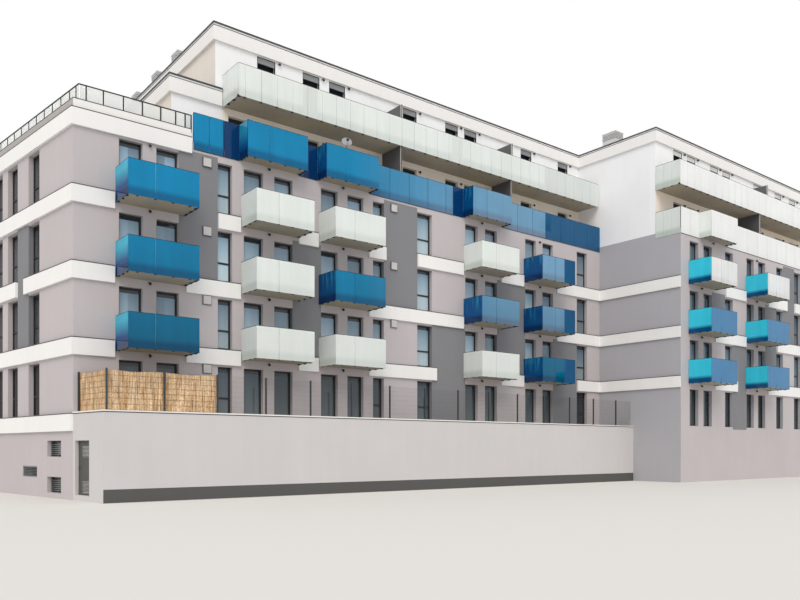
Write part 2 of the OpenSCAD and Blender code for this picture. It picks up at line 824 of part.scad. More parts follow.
module blue_glass() {
    h = glass_above + glass_below;
    bump_end = [for (x = bump_x) x + bump_w];
    color([0.1, 0.48, 0.7, 0.85]) place() {
        for (n = lower, i = [0 : len(balcony_x) - 1])
            if (!is_pale(i, n)) balcony_glass(balcony_x[i], floor_z(n) - glass_below, h);
        wing_face() for (n = lower, x = wing_balcony_x) balcony_glass(x, floor_z(n) - glass_below, h);
        for (x = bump_x) balcony_glass(x, terrace_glass_z, terrace_glass_h, bump_w, bump_d);
        glass_run(low_parapet_l + terrace_glass_gap, bump_x[0], terrace_glass_z, terrace_glass_h, first_pane_l);
        for (r = [[bump_end[0], bump_x[1]], [bump_end[1], bump_x[2]], [bump_end[2], near_l]])
            glass_run(r[0], r[1], terrace_glass_z, terrace_glass_h, terrace_pane_l);
    }
}

module pale_glass() {
    h = glass_above + glass_below;
    color([0.84, 0.89, 0.87, 0.85]) place() {
        for (n = lower, i = [0 : len(balcony_x) - 1])
            if (is_pale(i, n)) balcony_glass(balcony_x[i], floor_z(n) - glass_below, h);
        wing_face() {
            balcony_glass(wing_bump_x, terrace_glass_z, terrace_glass_h, bump_w, bump_d);
            glass_run(0, wing_bump_x, terrace_glass_z, terrace_glass_h, terrace_pane_l);
            glass_run(wing_bump_x + bump_w, wing_l, terrace_glass_z, terrace_glass_h, terrace_pane_l);
        }
        wing_side_face() glass_run(wing_out - setback + glass_t, wing_out - glass_t, terrace_glass_z,
            terrace_glass_h, side_pane_l);
    }
}

// Galleries of the top storey

gallery_z = floor_z(6) - gallery_step - gallery_t;
gallery_end = near_l - gallery_gap;

module gallery_slabs() {
    color("#a29e94") place() {
        translate([gallery_x, setback - gallery_d, gallery_z])
            cube([gallery_end - gallery_x, gallery_d, gallery_t]);
        translate([near_l, setback - wing_out - gallery_d, gallery_z]) cube([wing_l, gallery_d, gallery_t]);
    }
}

module gallery_glass() {
    z = gallery_z - gallery_glass_below;
    color([0.84, 0.89, 0.87, 0.85]) place() {
        translate([0, setback - gallery_d, 0])
            for (r = [[gallery_x, gallery_x + gallery_first], [gallery_x + gallery_first, gallery_end]])
                glass_run(r[0], r[1], z, gallery_glass_h, gallery_pitch);
        wing_face() translate([0, setback - gallery_d, 0])
            glass_run(0, wing_l, z, gallery_glass_h, gallery_pitch);
        for (p = [[gallery_x, setback], [near_l, setback - wing_out]]) translate([p[0], p[1], 0])
            rotate([0, 0, -90]) glass_run(coping_lip, gallery_d, z, gallery_glass_h, side_pane_l);
    }
}

// A divider on the terrace under the gallery, and one on the gallery, moved along by shift
module divider_pair(x, y, shift) {
    translate([x, y - gallery_d + coping_lip, upper_z])
        cube([divider_t, gallery_d - coping_lip, gallery_z - upper_z]);
    translate([x + shift, y - gallery_d, gallery_z + gallery_t]) cube([divider_t, gallery_d, divider_h]);
}

module gallery_dividers() {
    color("#4a4a4e") place() {
        for (x = divider_x) divider_pair(x, setback, 0);
        translate([near_l, 0, 0])
            divider_pair(wing_divider_x[0], setback - wing_out, wing_divider_x[1] - wing_divider_x[0]);
    }
}

// Roof terrace over the near corner

module terrace_parapet() {
    t = low_parapet_t;
    color("#efedea") place() slab(upper_z, low_parapet_h, [[left_x(0), 0], [low_parapet_l, 0],
        [low_parapet_l, t], [left_x(t, t), t], [left_x(depth - t, t), depth - t], [fifth_x, depth - t],
        [fifth_x, depth], [left_x(depth), depth]]);
}

// Places of the posts in a panel from 0 to l, with a bay of its own width at either end or none (0)
function post_places(l, first, last) =
    let (run = l - rail_t - first - last, n = round(run / rail_pitch))
    concat(first > 0 ? [0] : [], [for (i = [0 : n]) first + i * run / n], last > 0 ? [l - rail_t] : []);

module balustrade_panel(l, first, last) {
    for (z = [rail_foot, rail_h - rail_t]) translate([0, 0, z]) cube([l, rail_t, rail_t]);
    for (x = post_places(l, first, last)) translate([x, 0, 0]) cube([rail_t, rail_t, rail_h]);
}

module balustrade_panes(l, first, last) {
    x = post_places(l, first, last);
    for (i = [0 : len(x) - 2])
        translate([x[i] + rail_t + pane_play, (rail_t - glass_t) / 2, rail_foot + rail_t + pane_play])
            cube([x[i + 1] - x[i] - rail_t - 2 * pane_play, glass_t,
                rail_h - 2 * rail_t - rail_foot - 2 * pane_play]);
}

// Where the side's panel ends at the near corner, and the lengths of the three panels
rail_turn = rail_in * (1 - sin(slant)) / cos(slant);
side_rail_l = depth / cos(slant) - 2 * rail_in - 2 * rail_t;
street_rail_x = left_x(rail_in, rail_in) + rail_t + 4 * pane_play;
street_rail_l = low_parapet_l - street_rail_x;
back_rail_l = fifth_x - left_x(depth, rail_in) - rail_t;

// The three sides of the terrace: street, left and back
module terrace_sides() {
    z = upper_z + low_parapet_h;
    translate([street_rail_x, rail_in, z]) children(0);
    left_face() translate([-side_rail_l - rail_turn, rail_in, z]) children(1);
    translate([left_x(depth, rail_in) + rail_t, depth - rail_in - rail_t, z]) children(2);
}

module terrace_balustrade() {
    color("#2d2f31") place() terrace_sides() {
        balustrade_panel(street_rail_l, rail_first, rail_last);
        balustrade_panel(side_rail_l, 0, rail_first);
        balustrade_panel(back_rail_l, rail_first, 0);
    }
}

module balustrade_glass() {
    color([0.8, 0.86, 0.85, 0.6]) place() terrace_sides() {
        balustrade_panes(street_rail_l, rail_first, rail_last);
        balustrade_panes(side_rail_l, 0, rail_first);
        balustrade_panes(back_rail_l, rail_first, 0);
    }
}

// Fence on the podium's edge

fence_z = pod_top + pod_coping_t;
fence_y = -pod_d + pod_t / 2;
fence_x0 = left_x(fence_y, pod_t / 2);
fence_n = floor((near_l - fence_x0 - post_w) / fence_pitch);
// Length at the side, from the first post's left edge to the corner post, and the inner face of the posts
side_fence_l = (pod_d - pod_t / 2 - post_w) / cos(slant) - fence_in;
post_in = pod_t / 2 + post_w / 2;

module fence_posts() {
    color("#3a3c3e") place() {
        for (i = [0 : fence_n]) translate([fence_x0 + i * fence_pitch, fence_y - post_w / 2, fence_z])
            cube([post_w, post_w, fence_h]);
        left_face() translate([fence_in, post_in - post_w, fence_z]) cube([post_w, post_w, fence_h]);
    }
}

// A lattice of bars from 0 to l, with four rails, on the inner face of the posts
module lattice(l) {
    n = max(1, round(l * bay_bars / fence_pitch));
    h = fence_h - 2 * bar_foot - bar_t;
    for (i = [0 : 3]) translate([0, 0, bar_foot + i * h / 3]) cube([l, bar_t, bar_t]);
    for (i = [0 : n]) translate([i * (l - bar_t) / n, 0, bar_foot]) cube([bar_t, bar_t, h + bar_t]);
}

module fence_mesh() {
    color("#3a3c3e") place() {
        translate([fence_x0, fence_y + post_w / 2, fence_z]) lattice(near_l - fence_x0 - bar_t);
        left_face() translate([fence_in, post_in, fence_z]) lattice(side_fence_l);
    }
}

// Reed mats tied behind the lattice: one at the side and two at the front
module reed_screens() {
    color("#cdaf7d") place() {
        for (i = [0, 1])
            translate([fence_x0 + post_w / 2 + i * fence_pitch, fence_y + post_w / 2 + bar_t, fence_z])
                cube([fence_pitch - joint, reed_t, reed_h]);
        left_face() translate([fence_in, post_in + bar_t, fence_z]) cube([side_fence_l, reed_t, reed_h]);
    }
}

ground_floor();
floor_slabs();
terrace_floor();
gallery_floor();
roof_slab();
podium_front_wall();
podium_side_wall();
doorway_head_and_sill();
podium_deck();
podium_coping();
plant_door_frame();
plant_door();
plant_door_handle();
front_wall();
left_wall();
wing_side_wall();
wing_front_wall();
party_wall();
back_wall();
upper_front_walls();
upper_side_walls();
front_bands();
side_bands();
front_window_frames();
front_window_glass();
rear_window_frames();
rear_window_glass();
roller_shutters();
plinth_louvre();
wall_vents();
roof_parapets();
copings();
roof_vents();
balcony_slabs();
gallery_slabs();
blue_glass();
pale_glass();
gallery_glass();
gallery_dividers();
terrace_parapet();
terrace_balustrade();
balustrade_glass();
fence_posts();
fence_mesh();
reed_screens();
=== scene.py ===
"""An apartment block at half size: its finishes, windows, glass, metalwork and fence, round the CAD model."""

import math

import bmesh
import bpy
from mathutils import Matrix, Vector


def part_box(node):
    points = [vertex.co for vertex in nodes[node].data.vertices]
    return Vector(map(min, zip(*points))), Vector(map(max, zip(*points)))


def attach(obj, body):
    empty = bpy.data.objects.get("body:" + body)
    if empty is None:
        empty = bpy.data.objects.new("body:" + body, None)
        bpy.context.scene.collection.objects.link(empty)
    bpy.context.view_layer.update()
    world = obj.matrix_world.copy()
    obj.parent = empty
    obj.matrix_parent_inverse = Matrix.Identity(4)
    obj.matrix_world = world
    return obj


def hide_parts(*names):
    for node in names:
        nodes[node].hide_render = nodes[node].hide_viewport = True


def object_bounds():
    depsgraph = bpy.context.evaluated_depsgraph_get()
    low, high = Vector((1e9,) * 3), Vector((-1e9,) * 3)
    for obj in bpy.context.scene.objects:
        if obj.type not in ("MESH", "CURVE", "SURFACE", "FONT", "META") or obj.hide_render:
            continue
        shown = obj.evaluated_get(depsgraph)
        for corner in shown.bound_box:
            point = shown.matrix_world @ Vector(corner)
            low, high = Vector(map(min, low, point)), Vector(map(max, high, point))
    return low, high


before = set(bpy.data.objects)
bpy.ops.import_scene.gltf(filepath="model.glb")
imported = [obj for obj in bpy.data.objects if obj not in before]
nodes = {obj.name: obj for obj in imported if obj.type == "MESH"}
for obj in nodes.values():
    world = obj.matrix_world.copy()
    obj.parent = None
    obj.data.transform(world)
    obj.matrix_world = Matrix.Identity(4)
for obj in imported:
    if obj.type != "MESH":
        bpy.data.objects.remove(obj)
cad_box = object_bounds()


# Camera. It stands across the corner at eye height, level and turned to the near corner, with the lens
# shifted up so that the walls stay upright.
eye = Vector((-16.5546, -17.2895, 0.975))
looking = Vector((0.6215, 0.7834, 0))
focal_mm, sensor_mm = 34.74, 36
rise = 0.186
view_end = 500

lens = bpy.data.cameras.new("street_camera")
lens.lens = focal_mm
lens.sensor_width = sensor_mm
lens.shift_y = rise
lens.clip_end = view_end
camera = bpy.data.objects.new("street_camera", lens)
camera.location = eye
camera.rotation_euler = looking.to_track_quat("-Z", "Y").to_euler()
bpy.context.scene.collection.objects.link(camera)
bpy.context.scene.camera = camera
bpy.context.scene.view_settings.view_transform = "Standard"


# Daylight. An overcast sky gives soft light from all round, and a broad pale sun stands high at the left,
# behind the camera. What the camera, reflections and clear glass see of the sky is plain white.
sky_hex, sky_light = "#f4f7fb", 0.84
sun_hex, sun_light = "#fff6ea", 1.55
sun_width = math.radians(40)
sun_from = Vector((-0.55, -0.62, 0.85))


def linear(hex_colour):
    """An sRGB hex colour as the linear RGBA that a shader takes."""
    parts = [int(hex_colour[i : i + 2], 16) / 255 for i in (1, 3, 5)]
    return [c / 12.92 if c <= 0.04045 else ((c + 0.055) / 1.055) ** 2.4 for c in parts] + [1.0]


def add(tree, kind, inputs=None, **settings):
    """Adds one shader node with its settings. An input takes a value, a socket, or a node's first output."""
    node = tree.nodes.new("ShaderNode" + kind)
    for name, value in settings.items():
        setattr(node, name, value)
    for key, value in (inputs or {}).items():
        if isinstance(value, bpy.types.Node):
            value = value.outputs[0]
        if isinstance(value, bpy.types.NodeSocket):
            tree.links.new(value, node.inputs[key])
        else:
            node.inputs[key].default_value = value
    return node


sky = bpy.data.worlds.new("overcast_sky")
sky.use_nodes = True
tree = sky.node_tree
tree.nodes.clear()
ray = add(tree, "LightPath").outputs
seen = add(tree, "Math", {0: ray["Is Camera Ray"], 1: ray["Is Glossy Ray"]}, operation="MAXIMUM")
seen = add(tree, "Math", {0: seen, 1: ray["Is Transmission Ray"]}, operation="MAXIMUM")
lit = add(tree, "Background", {"Color": linear(sky_hex), "Strength": sky_light})
white = add(tree, "Background", {"Color": (1, 1, 1, 1), "Strength": 1})
both = add(tree, "MixShader", {0: seen, 1: lit, 2: white})
add(tree, "OutputWorld", {"Surface": both})
bpy.context.scene.world = sky

sun = bpy.data.lights.new("pale_sun", "SUN")
sun.energy = sun_light
sun.angle = sun_width
sun.color = linear(sun_hex)[:3]
sun_lamp = bpy.data.objects.new("pale_sun", sun)
sun_lamp.rotation_euler = sun_from.to_track_quat("Z", "Y").to_euler()
bpy.context.scene.collection.objects.link(sun_lamp)


# Floor. A pale matt studio floor that fades into the white behind it, and keeps the block's shadow.
# It isn't part of the block.
floor_hex = "#dcdad6"
floor_span = 400
fade_from, fade_to = 22, 60


def new_material(name):
    """An empty material, its node tree and the place on the piece that its patterns are drawn on."""
    material = bpy.data.materials.new(name)
    material.use_nodes = True
    material.node_tree.nodes.clear()
    place = add(material.node_tree, "TexCoord").outputs["Object"]
    return material, material.node_tree, place


def piece(name, bm, material, body="building", turn=None):
    """Turns what was drawn to its face, makes it a piece of the scene and lets it ride on its body."""
    if turn:
        bmesh.ops.transform(bm, matrix=turn, verts=bm.verts)
    mesh = bpy.data.meshes.new(name)
    bm.to_mesh(mesh)
    bm.free()
    mesh.materials.append(material)
    made = bpy.data.objects.new(name, mesh)
    bpy.context.scene.collection.objects.link(made)
    if body:
        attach(made, body)
    return made


material, tree, place = new_material("pale_studio_floor")
far = add(tree, "VectorMath", {0: place}, operation="LENGTH").outputs["Value"]
fade = add(tree, "MapRange", {"Value": far, "From Min": fade_from, "From Max": fade_to})
ray = add(tree, "LightPath").outputs
seen = add(tree, "Math", {0: ray["Is Camera Ray"], 1: ray["Is Glossy Ray"]}, operation="MAXIMUM")
fade = add(tree, "Math", {0: fade, 1: seen}, operation="MULTIPLY")
dull = add(tree, "BsdfDiffuse", {"Color": linear(floor_hex)})
glow = add(tree, "Emission", {"Color": (1, 1, 1, 1), "Strength": 1})
both = add(tree, "MixShader", {0: fade, 1: dull, 2: glow})
add(tree, "OutputMaterial", {"Surface": both})
bm = bmesh.new()
bmesh.ops.create_grid(bm, x_segments=1, y_segments=1, size=floor_span / 2)
piece("studio_floor", bm, material, body=None)


# Concrete floors and slabs. Cast concrete, matt and grey, with the marks of the boards that it was cast
# against: they are about 180 mm wide on the real block, and show under the balconies.
board_w = 0.09
seam_w = 0.003
bloom_size = 0.9
pour_size, pour_contrast = 0.12, 0.08


def clad(material, *names):
    """Gives CAD nodes their finish."""
    for name in names:
        for place_in in nodes[name].material_slots:
            place_in.material = material


def mottle(tree, place, size_m, contrast, colour, stretch=(1, 1, 1)):
    """A colour that varies softly in patches of size_m, wider than real dust and drying marks mostly are."""
    grown = add(tree, "VectorMath", {0: place, 1: stretch}, operation="MULTIPLY")
    cloud = add(tree, "TexNoise", {"Vector": grown, "Scale": 1 / size_m, "Detail": 4, "Roughness": 0.55})
    shade = add(tree, "MapRange", {"Value": cloud, "From Min": 0.3, "From Max": 0.7,
                                   "To Min": 1 - contrast, "To Max": 1 + contrast})
    return add(tree, "Mix", {0: 1, 6: colour, 7: shade}, data_type="RGBA", blend_type="MULTIPLY").outputs[2]


def grain(tree, place, size_m, depth_m, strength=0.5):
    """Small bumps, size_m apart and depth_m high: drawn coarser than real grain, which would be too fine."""
    dots = add(tree, "TexNoise", {"Vector": place, "Scale": 1 / size_m, "Detail": 3, "Roughness": 0.6})
    return add(tree, "Bump", {"Height": dots, "Strength": strength, "Distance": depth_m})


def cast_concrete(name, hex_colour, warm_hex):
    """Concrete with pour marks, a warm bloom from the shuttering oil, and faint board joints."""
    material, tree, place = new_material(name)
    cloud = add(tree, "TexNoise", {"Vector": place, "Scale": 1 / bloom_size, "Detail": 5, "Roughness": 0.6})
    warm = add(tree, "MapRange", {"Value": cloud, "From Min": 0.42, "From Max": 0.68})
    cold, warmer = linear(hex_colour), linear(warm_hex)
    tone = add(tree, "Mix", {0: warm, 6: cold, 7: warmer}, data_type="RGBA").outputs[2]
    tone = mottle(tree, place, pour_size, pour_contrast, tone, (1, 3, 1))
    across = add(tree, "SeparateXYZ", {0: place}).outputs["Y"]
    row = add(tree, "Math", {0: across, 1: board_w}, operation="FLOORED_MODULO")
    seam = add(tree, "Math", {0: row, 1: 0, 2: seam_w}, operation="COMPARE")
    dark = add(tree, "MapRange", {"Value": seam, "To Min": 1, "To Max": 0.8})
    tone = add(tree, "VectorMath", {0: tone, "Scale": dark}, operation="SCALE")
    shader = add(tree, "BsdfPrincipled", {"Base Color": tone, "Roughness": 0.85, "Specular IOR Level": 0.3,
                                          "Normal": grain(tree, place, 0.012, 0.001)})
    add(tree, "OutputMaterial", {"Surface": shader})
    return material


clad(cast_concrete("cast_concrete", "#aeaaa2", "#b2ab9c"), "ground_floor", "floor_slabs", "gallery_floor")
clad(cast_concrete("board_marked_soffit", "#a9a398", "#b3a98f"), "balcony_slabs", "gallery_slabs")


# Decks and roofs. Square concrete pavers lie on the podium and the terrace, 500 mm across on the real block,
# and the top roof is covered with grey bitumen felt in strips of 1 m. All are matt, each piece in its shade.
paver_side, paver_joint = 0.25, 0.004
felt_w, felt_l, felt_joint = 0.5, 2.5, 0.006
joint_hex = "#4c4b48"


def laid_in_squares(name, hex_colour, side_x, side_y, joint_w, roughness):
    """A flat covering in rectangles, each of its own shade, with dark joints between them."""
    material, tree, place = new_material(name)
    cut = add(tree, "VectorMath", {0: place, 1: (1 / side_x, 1 / side_y, 0)}, operation="MULTIPLY")
    cell = add(tree, "VectorMath", {0: cut}, operation="FLOOR")
    shade = add(tree, "TexWhiteNoise", {"Vector": cell}, noise_dimensions="2D").outputs["Value"]
    shade = add(tree, "MapRange", {"Value": shade, "To Min": 0.9, "To Max": 1.06})
    tone = mottle(tree, place, 0.5, 0.06, linear(hex_colour))
    tone = add(tree, "VectorMath", {0: tone, "Scale": shade}, operation="SCALE")
    edge = add(tree, "SeparateXYZ", {0: add(tree, "VectorMath", {0: cut}, operation="FRACTION")}).outputs
    near_x = add(tree, "Math", {0: edge["X"], 1: joint_w / side_x}, operation="LESS_THAN")
    near_y = add(tree, "Math", {0: edge["Y"], 1: joint_w / side_y}, operation="LESS_THAN")
    gap = add(tree, "Math", {0: near_x, 1: near_y}, operation="MAXIMUM")
    tone = add(tree, "Mix", {0: gap, 6: tone, 7: linear(joint_hex)}, data_type="RGBA").outputs[2]
    shader = add(tree, "BsdfPrincipled", {"Base Color": tone, "Roughness": roughness, "Specular IOR Level": 0.3,
                                          "Normal": grain(tree, place, 0.006, 0.0008)})
    add(tree, "OutputMaterial", {"Surface": shader})
    return material


pavers = (paver_side, paver_side, paver_joint, 0.85)
clad(laid_in_squares("concrete_pavers", "#a5a29b", *pavers), "podium_deck")
clad(laid_in_squares("pale_terrace_pavers", "#cfc7ba", *pavers), "terrace_floor")
clad(laid_in_squares("bitumen_felt", "#6c6d6e", felt_w, felt_l, felt_joint, 0.9), "roof_slab")


# Rendered walls. Fine mineral render on insulation, floated smooth and painted: light warm grey, with dark
# grey fields between some windows that run over one or two storeys, and white for the bands and the two top
# storeys. It is matt and shows faint clouds.
light_grey, inner_corner_painted_shade_grey, podium_grey, field_grey = "#c3bcbe", "#b1b0b6", "#cfcccc", "#86868a"
near_end_painted_shade, gallery_painted_bounce_light = "#e8e0d8", "#fff4e6"
storey = 1.45
first_floor = 1.575
wall_t = 0.2
reveal = 0.1
slant = math.radians(7.6)
skirt_h = 0.245
band_h = 0.2
weld = 2e-5
# How far from a wall's corner a painted tint of light or shade ends, so that no face lies on its edge.
end_gap = 0.003

# The near corner's foot, and the three ways that the walls face. In each face's own frame x runs along the
# wall, y goes into it and z is up.
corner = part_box("front_wall")[0] + Vector((wall_t * math.tan(slant), 0, 0))
wing_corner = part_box("wing_front_wall")[0]
street = Matrix()
side = Matrix.Translation(corner) @ Matrix.Rotation(slant - math.pi / 2, 4, "Z")
rear = Matrix.Translation(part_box("back_wall")[1] * Vector((1, 1, 0))) @ Matrix.Rotation(math.pi, 4, "Z")


def floor_z(n):
    """Height of a storey's floor."""
    return first_floor + (n - 1) * storey


def solids(name, turn=street):
    """Each solid of a CAD node: its lowest and highest corners in a face's frame, and its points' heights."""
    bm = bmesh.new()
    bm.from_mesh(nodes[name].data)
    bmesh.ops.remove_doubles(bm, verts=bm.verts, dist=weld)
    bmesh.ops.transform(bm, matrix=turn.inverted(), verts=bm.verts)
    left = set(bm.verts)
    found = []
    while left:
        group = [left.pop()]
        for point in group:
            for edge in point.link_edges:
                other = edge.other_vert(point)
                if other in left:
                    left.discard(other)
                    group.append(other)
        low = Vector(min(p.co[i] for p in group) for i in range(3))
        high = Vector(max(p.co[i] for p in group) for i in range(3))
        heights = sorted({round(p.co.z, 4) for p in group})
        found.append((low.freeze(), high.freeze(), heights))
    bm.free()
    return sorted(found, key=lambda solid: (tuple(solid[0]), tuple(solid[1])))


def on_the(turn, tree, place):
    """The place on a piece in a face's own frame, as separate numbers."""
    back = turn.inverted()
    on_face = add(tree, "Mapping", {"Vector": place, "Location": back.translation, "Rotation": back.to_euler()})
    return add(tree, "SeparateXYZ", {0: on_face}).outputs


def with_field(tree, spot, tone, start, end, lowest, highest, hex_colour):
    """The tone, with a field of another colour between two ends and two heights on the face."""
    inside = [add(tree, "Math", {0: value, 1: (low + high) / 2, 2: (high - low) / 2}, operation="COMPARE")
              for value, low, high in ((spot["X"], start, end), (spot["Z"], lowest, highest))]
    inside = add(tree, "Math", {0: inside[0], 1: inside[1]}, operation="MULTIPLY")
    return add(tree, "Mix", {0: inside, 6: tone, 7: linear(hex_colour)}, data_type="RGBA").outputs[2]


def rendered(name, hex_colour, fields=(), turn=street, skirt_hex=None, end_hex=None):
    """Painted render with fields (start, end, lowest, highest, colour), a skirt or ends of another tone."""
    material, tree, place = new_material(name)
    tone = linear(hex_colour)
    spot = on_the(turn, tree, place)
    for field in fields:
        tone = with_field(tree, spot, tone, *field)
    if skirt_hex:
        low = add(tree, "Math", {0: spot["Z"], 1: skirt_h}, operation="LESS_THAN")
        tone = add(tree, "Mix", {0: low, 6: tone, 7: linear(skirt_hex)}, data_type="RGBA").outputs[2]
    if end_hex:
        facing = add(tree, "SeparateXYZ", {0: add(tree, "NewGeometry").outputs["Normal"]}).outputs["X"]
        end = add(tree, "Math", {0: facing, 1: -0.5}, operation="LESS_THAN")
        tone = add(tree, "Mix", {0: end, 6: tone, 7: linear(end_hex)}, data_type="RGBA").outputs[2]
    tone = mottle(tree, place, 1.3, 0.02, tone)
    tone = mottle(tree, place, 0.2, 0.012, tone, (1, 1, 0.12))
    shader = add(tree, "BsdfPrincipled", {"Base Color": tone, "Roughness": 0.9, "Specular IOR Level": 0.2,
                                          "Normal": grain(tree, place, 0.008, 0.0006, 0.35)})
    add(tree, "OutputMaterial", {"Surface": shader})
    return material


def painted_fields(frames, chosen):
    """The dark fields: each lies between an opening and the next one, from one storey to another."""
    row = [f for f in frames if floor_z(2) < f[0].z < floor_z(3)]
    return [(row[i][1].x, row[i + 1][0].x, floor_z(a), floor_z(b + 1) - band_h, field_grey)
            for i, a, b in chosen]


front_frames = solids("front_window_frames")
near_frames = [f for f in front_frames if corner.y < f[0].y < corner.y + wall_t]
wing_frames = [f for f in front_frames if f[0].y < wing_corner.y + wall_t]
side_frames, rear_frames = ([f for f in solids("rear_window_frames", turn) if abs(f[0].y - reveal) < 0.01]
                            for turn in (side, rear))
front_fields = painted_fields(near_frames, [(1, 3, 4), (4, 2, 3), (7, 3, 4), (8, 1, 2), (10, 2, 3), (12, 1, 2)])
wing_fields = painted_fields(wing_frames, [(1, 3, 3), (2, 1, 2), (4, 2, 3), (5, 3, 4)])
side_fields = painted_fields(side_frames, [(3, 2, 3)])
clad(rendered("front_render", light_grey, front_fields), "front_wall")
# The wing's side wall and the end of its front wall are painted a darker, cooler grey: painted shade of the
# inner corner.
clad(rendered("wing_render", light_grey, wing_fields, end_hex=inner_corner_painted_shade_grey), "wing_front_wall")
clad(rendered("side_render", light_grey, side_fields, turn=side), "left_wall")
clad(rendered("inner_corner_painted_shade_render", inner_corner_painted_shade_grey), "wing_side_wall")
clad(rendered("rear_render", light_grey), "back_wall", "party_wall")
clad(rendered("white_render", "#f2f1f0"), "front_bands", "side_bands", "roof_parapets")

# The two top storeys hold painted shade at their near end, on the ends of the front walls too, and painted
# warm bounce light under the gallery.
near_x, far_x, roofs_z = cad_box[0].x, cad_box[1].x, cad_box[1].z
fifth_side, sixth_side = sorted(low.x for low, high, _ in solids("upper_side_walls"))[:2]
front_painted_light_and_shade = [(start + end_gap, end - end_gap, floor_z(5), floor_z(6), gallery_painted_bounce_light)
               for start, end in ((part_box("gallery_slabs")[0].x, wing_corner.x), (wing_corner.x, far_x))]
front_painted_light_and_shade += [(near_x, fifth_side + end_gap, floor_z(5), floor_z(6), near_end_painted_shade),
                (near_x, sixth_side + end_gap, floor_z(6), roofs_z, near_end_painted_shade)]
side_painted_shade = [(near_x, wing_corner.x - 1, floor_z(5), roofs_z, near_end_painted_shade)]
clad(rendered("upper_front_render", "#f9fafc", front_painted_light_and_shade), "upper_front_walls")
clad(rendered("upper_side_render", "#f6f7fa", side_painted_shade), "upper_side_walls")
clad(rendered("parapet_render", "#f2f0ed", end_hex="#b3aeac"), "terrace_parapet")
clad(rendered("podium_render", podium_grey, skirt_hex="#5c5b5a", end_hex=podium_grey), "podium_front_wall")
clad(rendered("podium_side_render", podium_grey), "podium_side_wall", "doorway_head_and_sill")


# Sheet metal caps. Folded dark grey sheet lies on top of every band, parapet and roof edge, and laps down
# over its face. A thin dark strip below the roof's coping, and one below the podium's, stand for the shadow
# lines
# under them: painted shadow.
def sheet_metal(name, hex_colour, roughness=0.5):
    """Coated sheet, satin and faintly dented."""
    material, tree, place = new_material(name)
    tone = mottle(tree, place, 0.7, 0.06, linear(hex_colour))
    shader = add(tree, "BsdfPrincipled", {"Base Color": tone, "Roughness": roughness, "Metallic": 0.2,
                                          "Normal": grain(tree, place, 0.3, 0.001, 0.2)})
    add(tree, "OutputMaterial", {"Surface": shader})
    return material


def points_of(parts):
    """The points among what an operator made."""
    return [part for part in parts if isinstance(part, bmesh.types.BMVert)]


def lid_on(name, low, high, proud):
    """A shape over the top faces of a CAD node, between two heights from them, standing out by proud."""
    bm = bmesh.new()
    bm.from_mesh(nodes[name].data)
    bmesh.ops.remove_doubles(bm, verts=bm.verts, dist=weld)
    bm.normal_update()
    bmesh.ops.delete(bm, geom=[f for f in bm.faces if f.normal.z < 0.9], context="FACES")
    bmesh.ops.translate(bm, verts=bm.verts, vec=(0, 0, low))
    lifted = bmesh.ops.extrude_face_region(bm, geom=bm.faces[:])["geom"]
    bmesh.ops.translate(bm, verts=points_of(lifted), vec=(0, 0, high - low))
    bmesh.ops.recalc_face_normals(bm, faces=bm.faces)
    shifts = {}
    for vert in bm.verts:
        ways = {tuple(round(c, 3) for c in f.normal.xy) for f in vert.link_faces if abs(f.normal.z) < 0.5}
        out = sum((Vector(way) for way in ways), Vector((0, 0)))
        if out.length > 0.1:
            shifts[vert] = (out * proud * len(ways) / out.length_squared).to_3d()
    for vert, shift in shifts.items():
        vert.co += shift
        vert.co.xy = [min(max(vert.co[i], cad_box[0][i]), cad_box[1][i]) for i in (0, 1)]
    return bm


coping_sheet = sheet_metal("folded_coping_sheet", "#434346")
clad(coping_sheet, "copings")
clad(sheet_metal("off_white_coping", "#eeece8"), "podium_coping")
cap = (-0.012, 0.005, 0.002)
for name, under, edges, slot in (
        ("podium_painted_shadow_strip", "podium_coping", (-0.041, -0.025, -0.011), "podium_coping"),
        ("front_band_caps", "front_bands", cap, "coping"), ("side_band_caps", "side_bands", cap, "coping"),
        ("terrace_parapet_cap", "terrace_parapet", cap, "coping"),
        ("roof_painted_shadow_strip", "roof_parapets", (-0.048, -0.036, 0.006), "coping")):
    piece(name, lid_on(under, *edges), coping_sheet)


# Roof vents. Galvanised boxes over the shafts, with a cap and four dark slats under it on each box, let in
# from the box's faces.
slat_count, outlet_pitch = 4, 0.045
outlet_drop = 0.06
outlet_in, outlet_t = 0.01, 0.012


def block(bm, low, high):
    """Adds a plain block between two corners, and returns its points."""
    low, high = Vector(low), Vector(high)
    sized = Matrix.LocRotScale((low + high) / 2, None, high - low)
    return bmesh.ops.create_cube(bm, size=1, matrix=sized)["verts"]


clad(sheet_metal("galvanised_sheet", "#d9d8d6"), "roof_vents")
bm = bmesh.new()
for low, high, heights in solids("roof_vents"):
    for i in range(slat_count):
        z = heights[-2] - outlet_drop - i * outlet_pitch
        block(bm, (low.x + outlet_in, low.y + outlet_in, z),
              (high.x - outlet_in, high.y - outlet_in, z + outlet_t))
piece("roof_vent_slats", bm, coping_sheet)


# Windows. Anthracite frames with an opening sash inside each light, and a lower fixed light under the
# transom of the tall ones. The sashes stand a little behind the frame's face.
sash_w = 0.026
sash_t = 0.01
sash_back = 0.004


def satin_paint(name, hex_colour, roughness=0.35):
    """Powder-coated metal or plastic, satin, with a fine orange-peel surface."""
    material, tree, place = new_material(name)
    tone = mottle(tree, place, 0.3, 0.05, linear(hex_colour))
    shader = add(tree, "BsdfPrincipled", {"Base Color": tone, "Roughness": roughness,
                                          "Normal": grain(tree, place, 0.01, 0.0002, 0.3)})
    add(tree, "OutputMaterial", {"Surface": shader})
    return material


def lights_of(window):
    """The openings for glass in a frame, as (left, right, bottom, top): one, or two round a transom."""
    low, high, heights = window
    bar = heights[1] - low.z
    levels = heights[1:-1]
    return [(low.x + bar, high.x - bar, levels[i], levels[i + 1]) for i in range(0, len(levels), 2)]


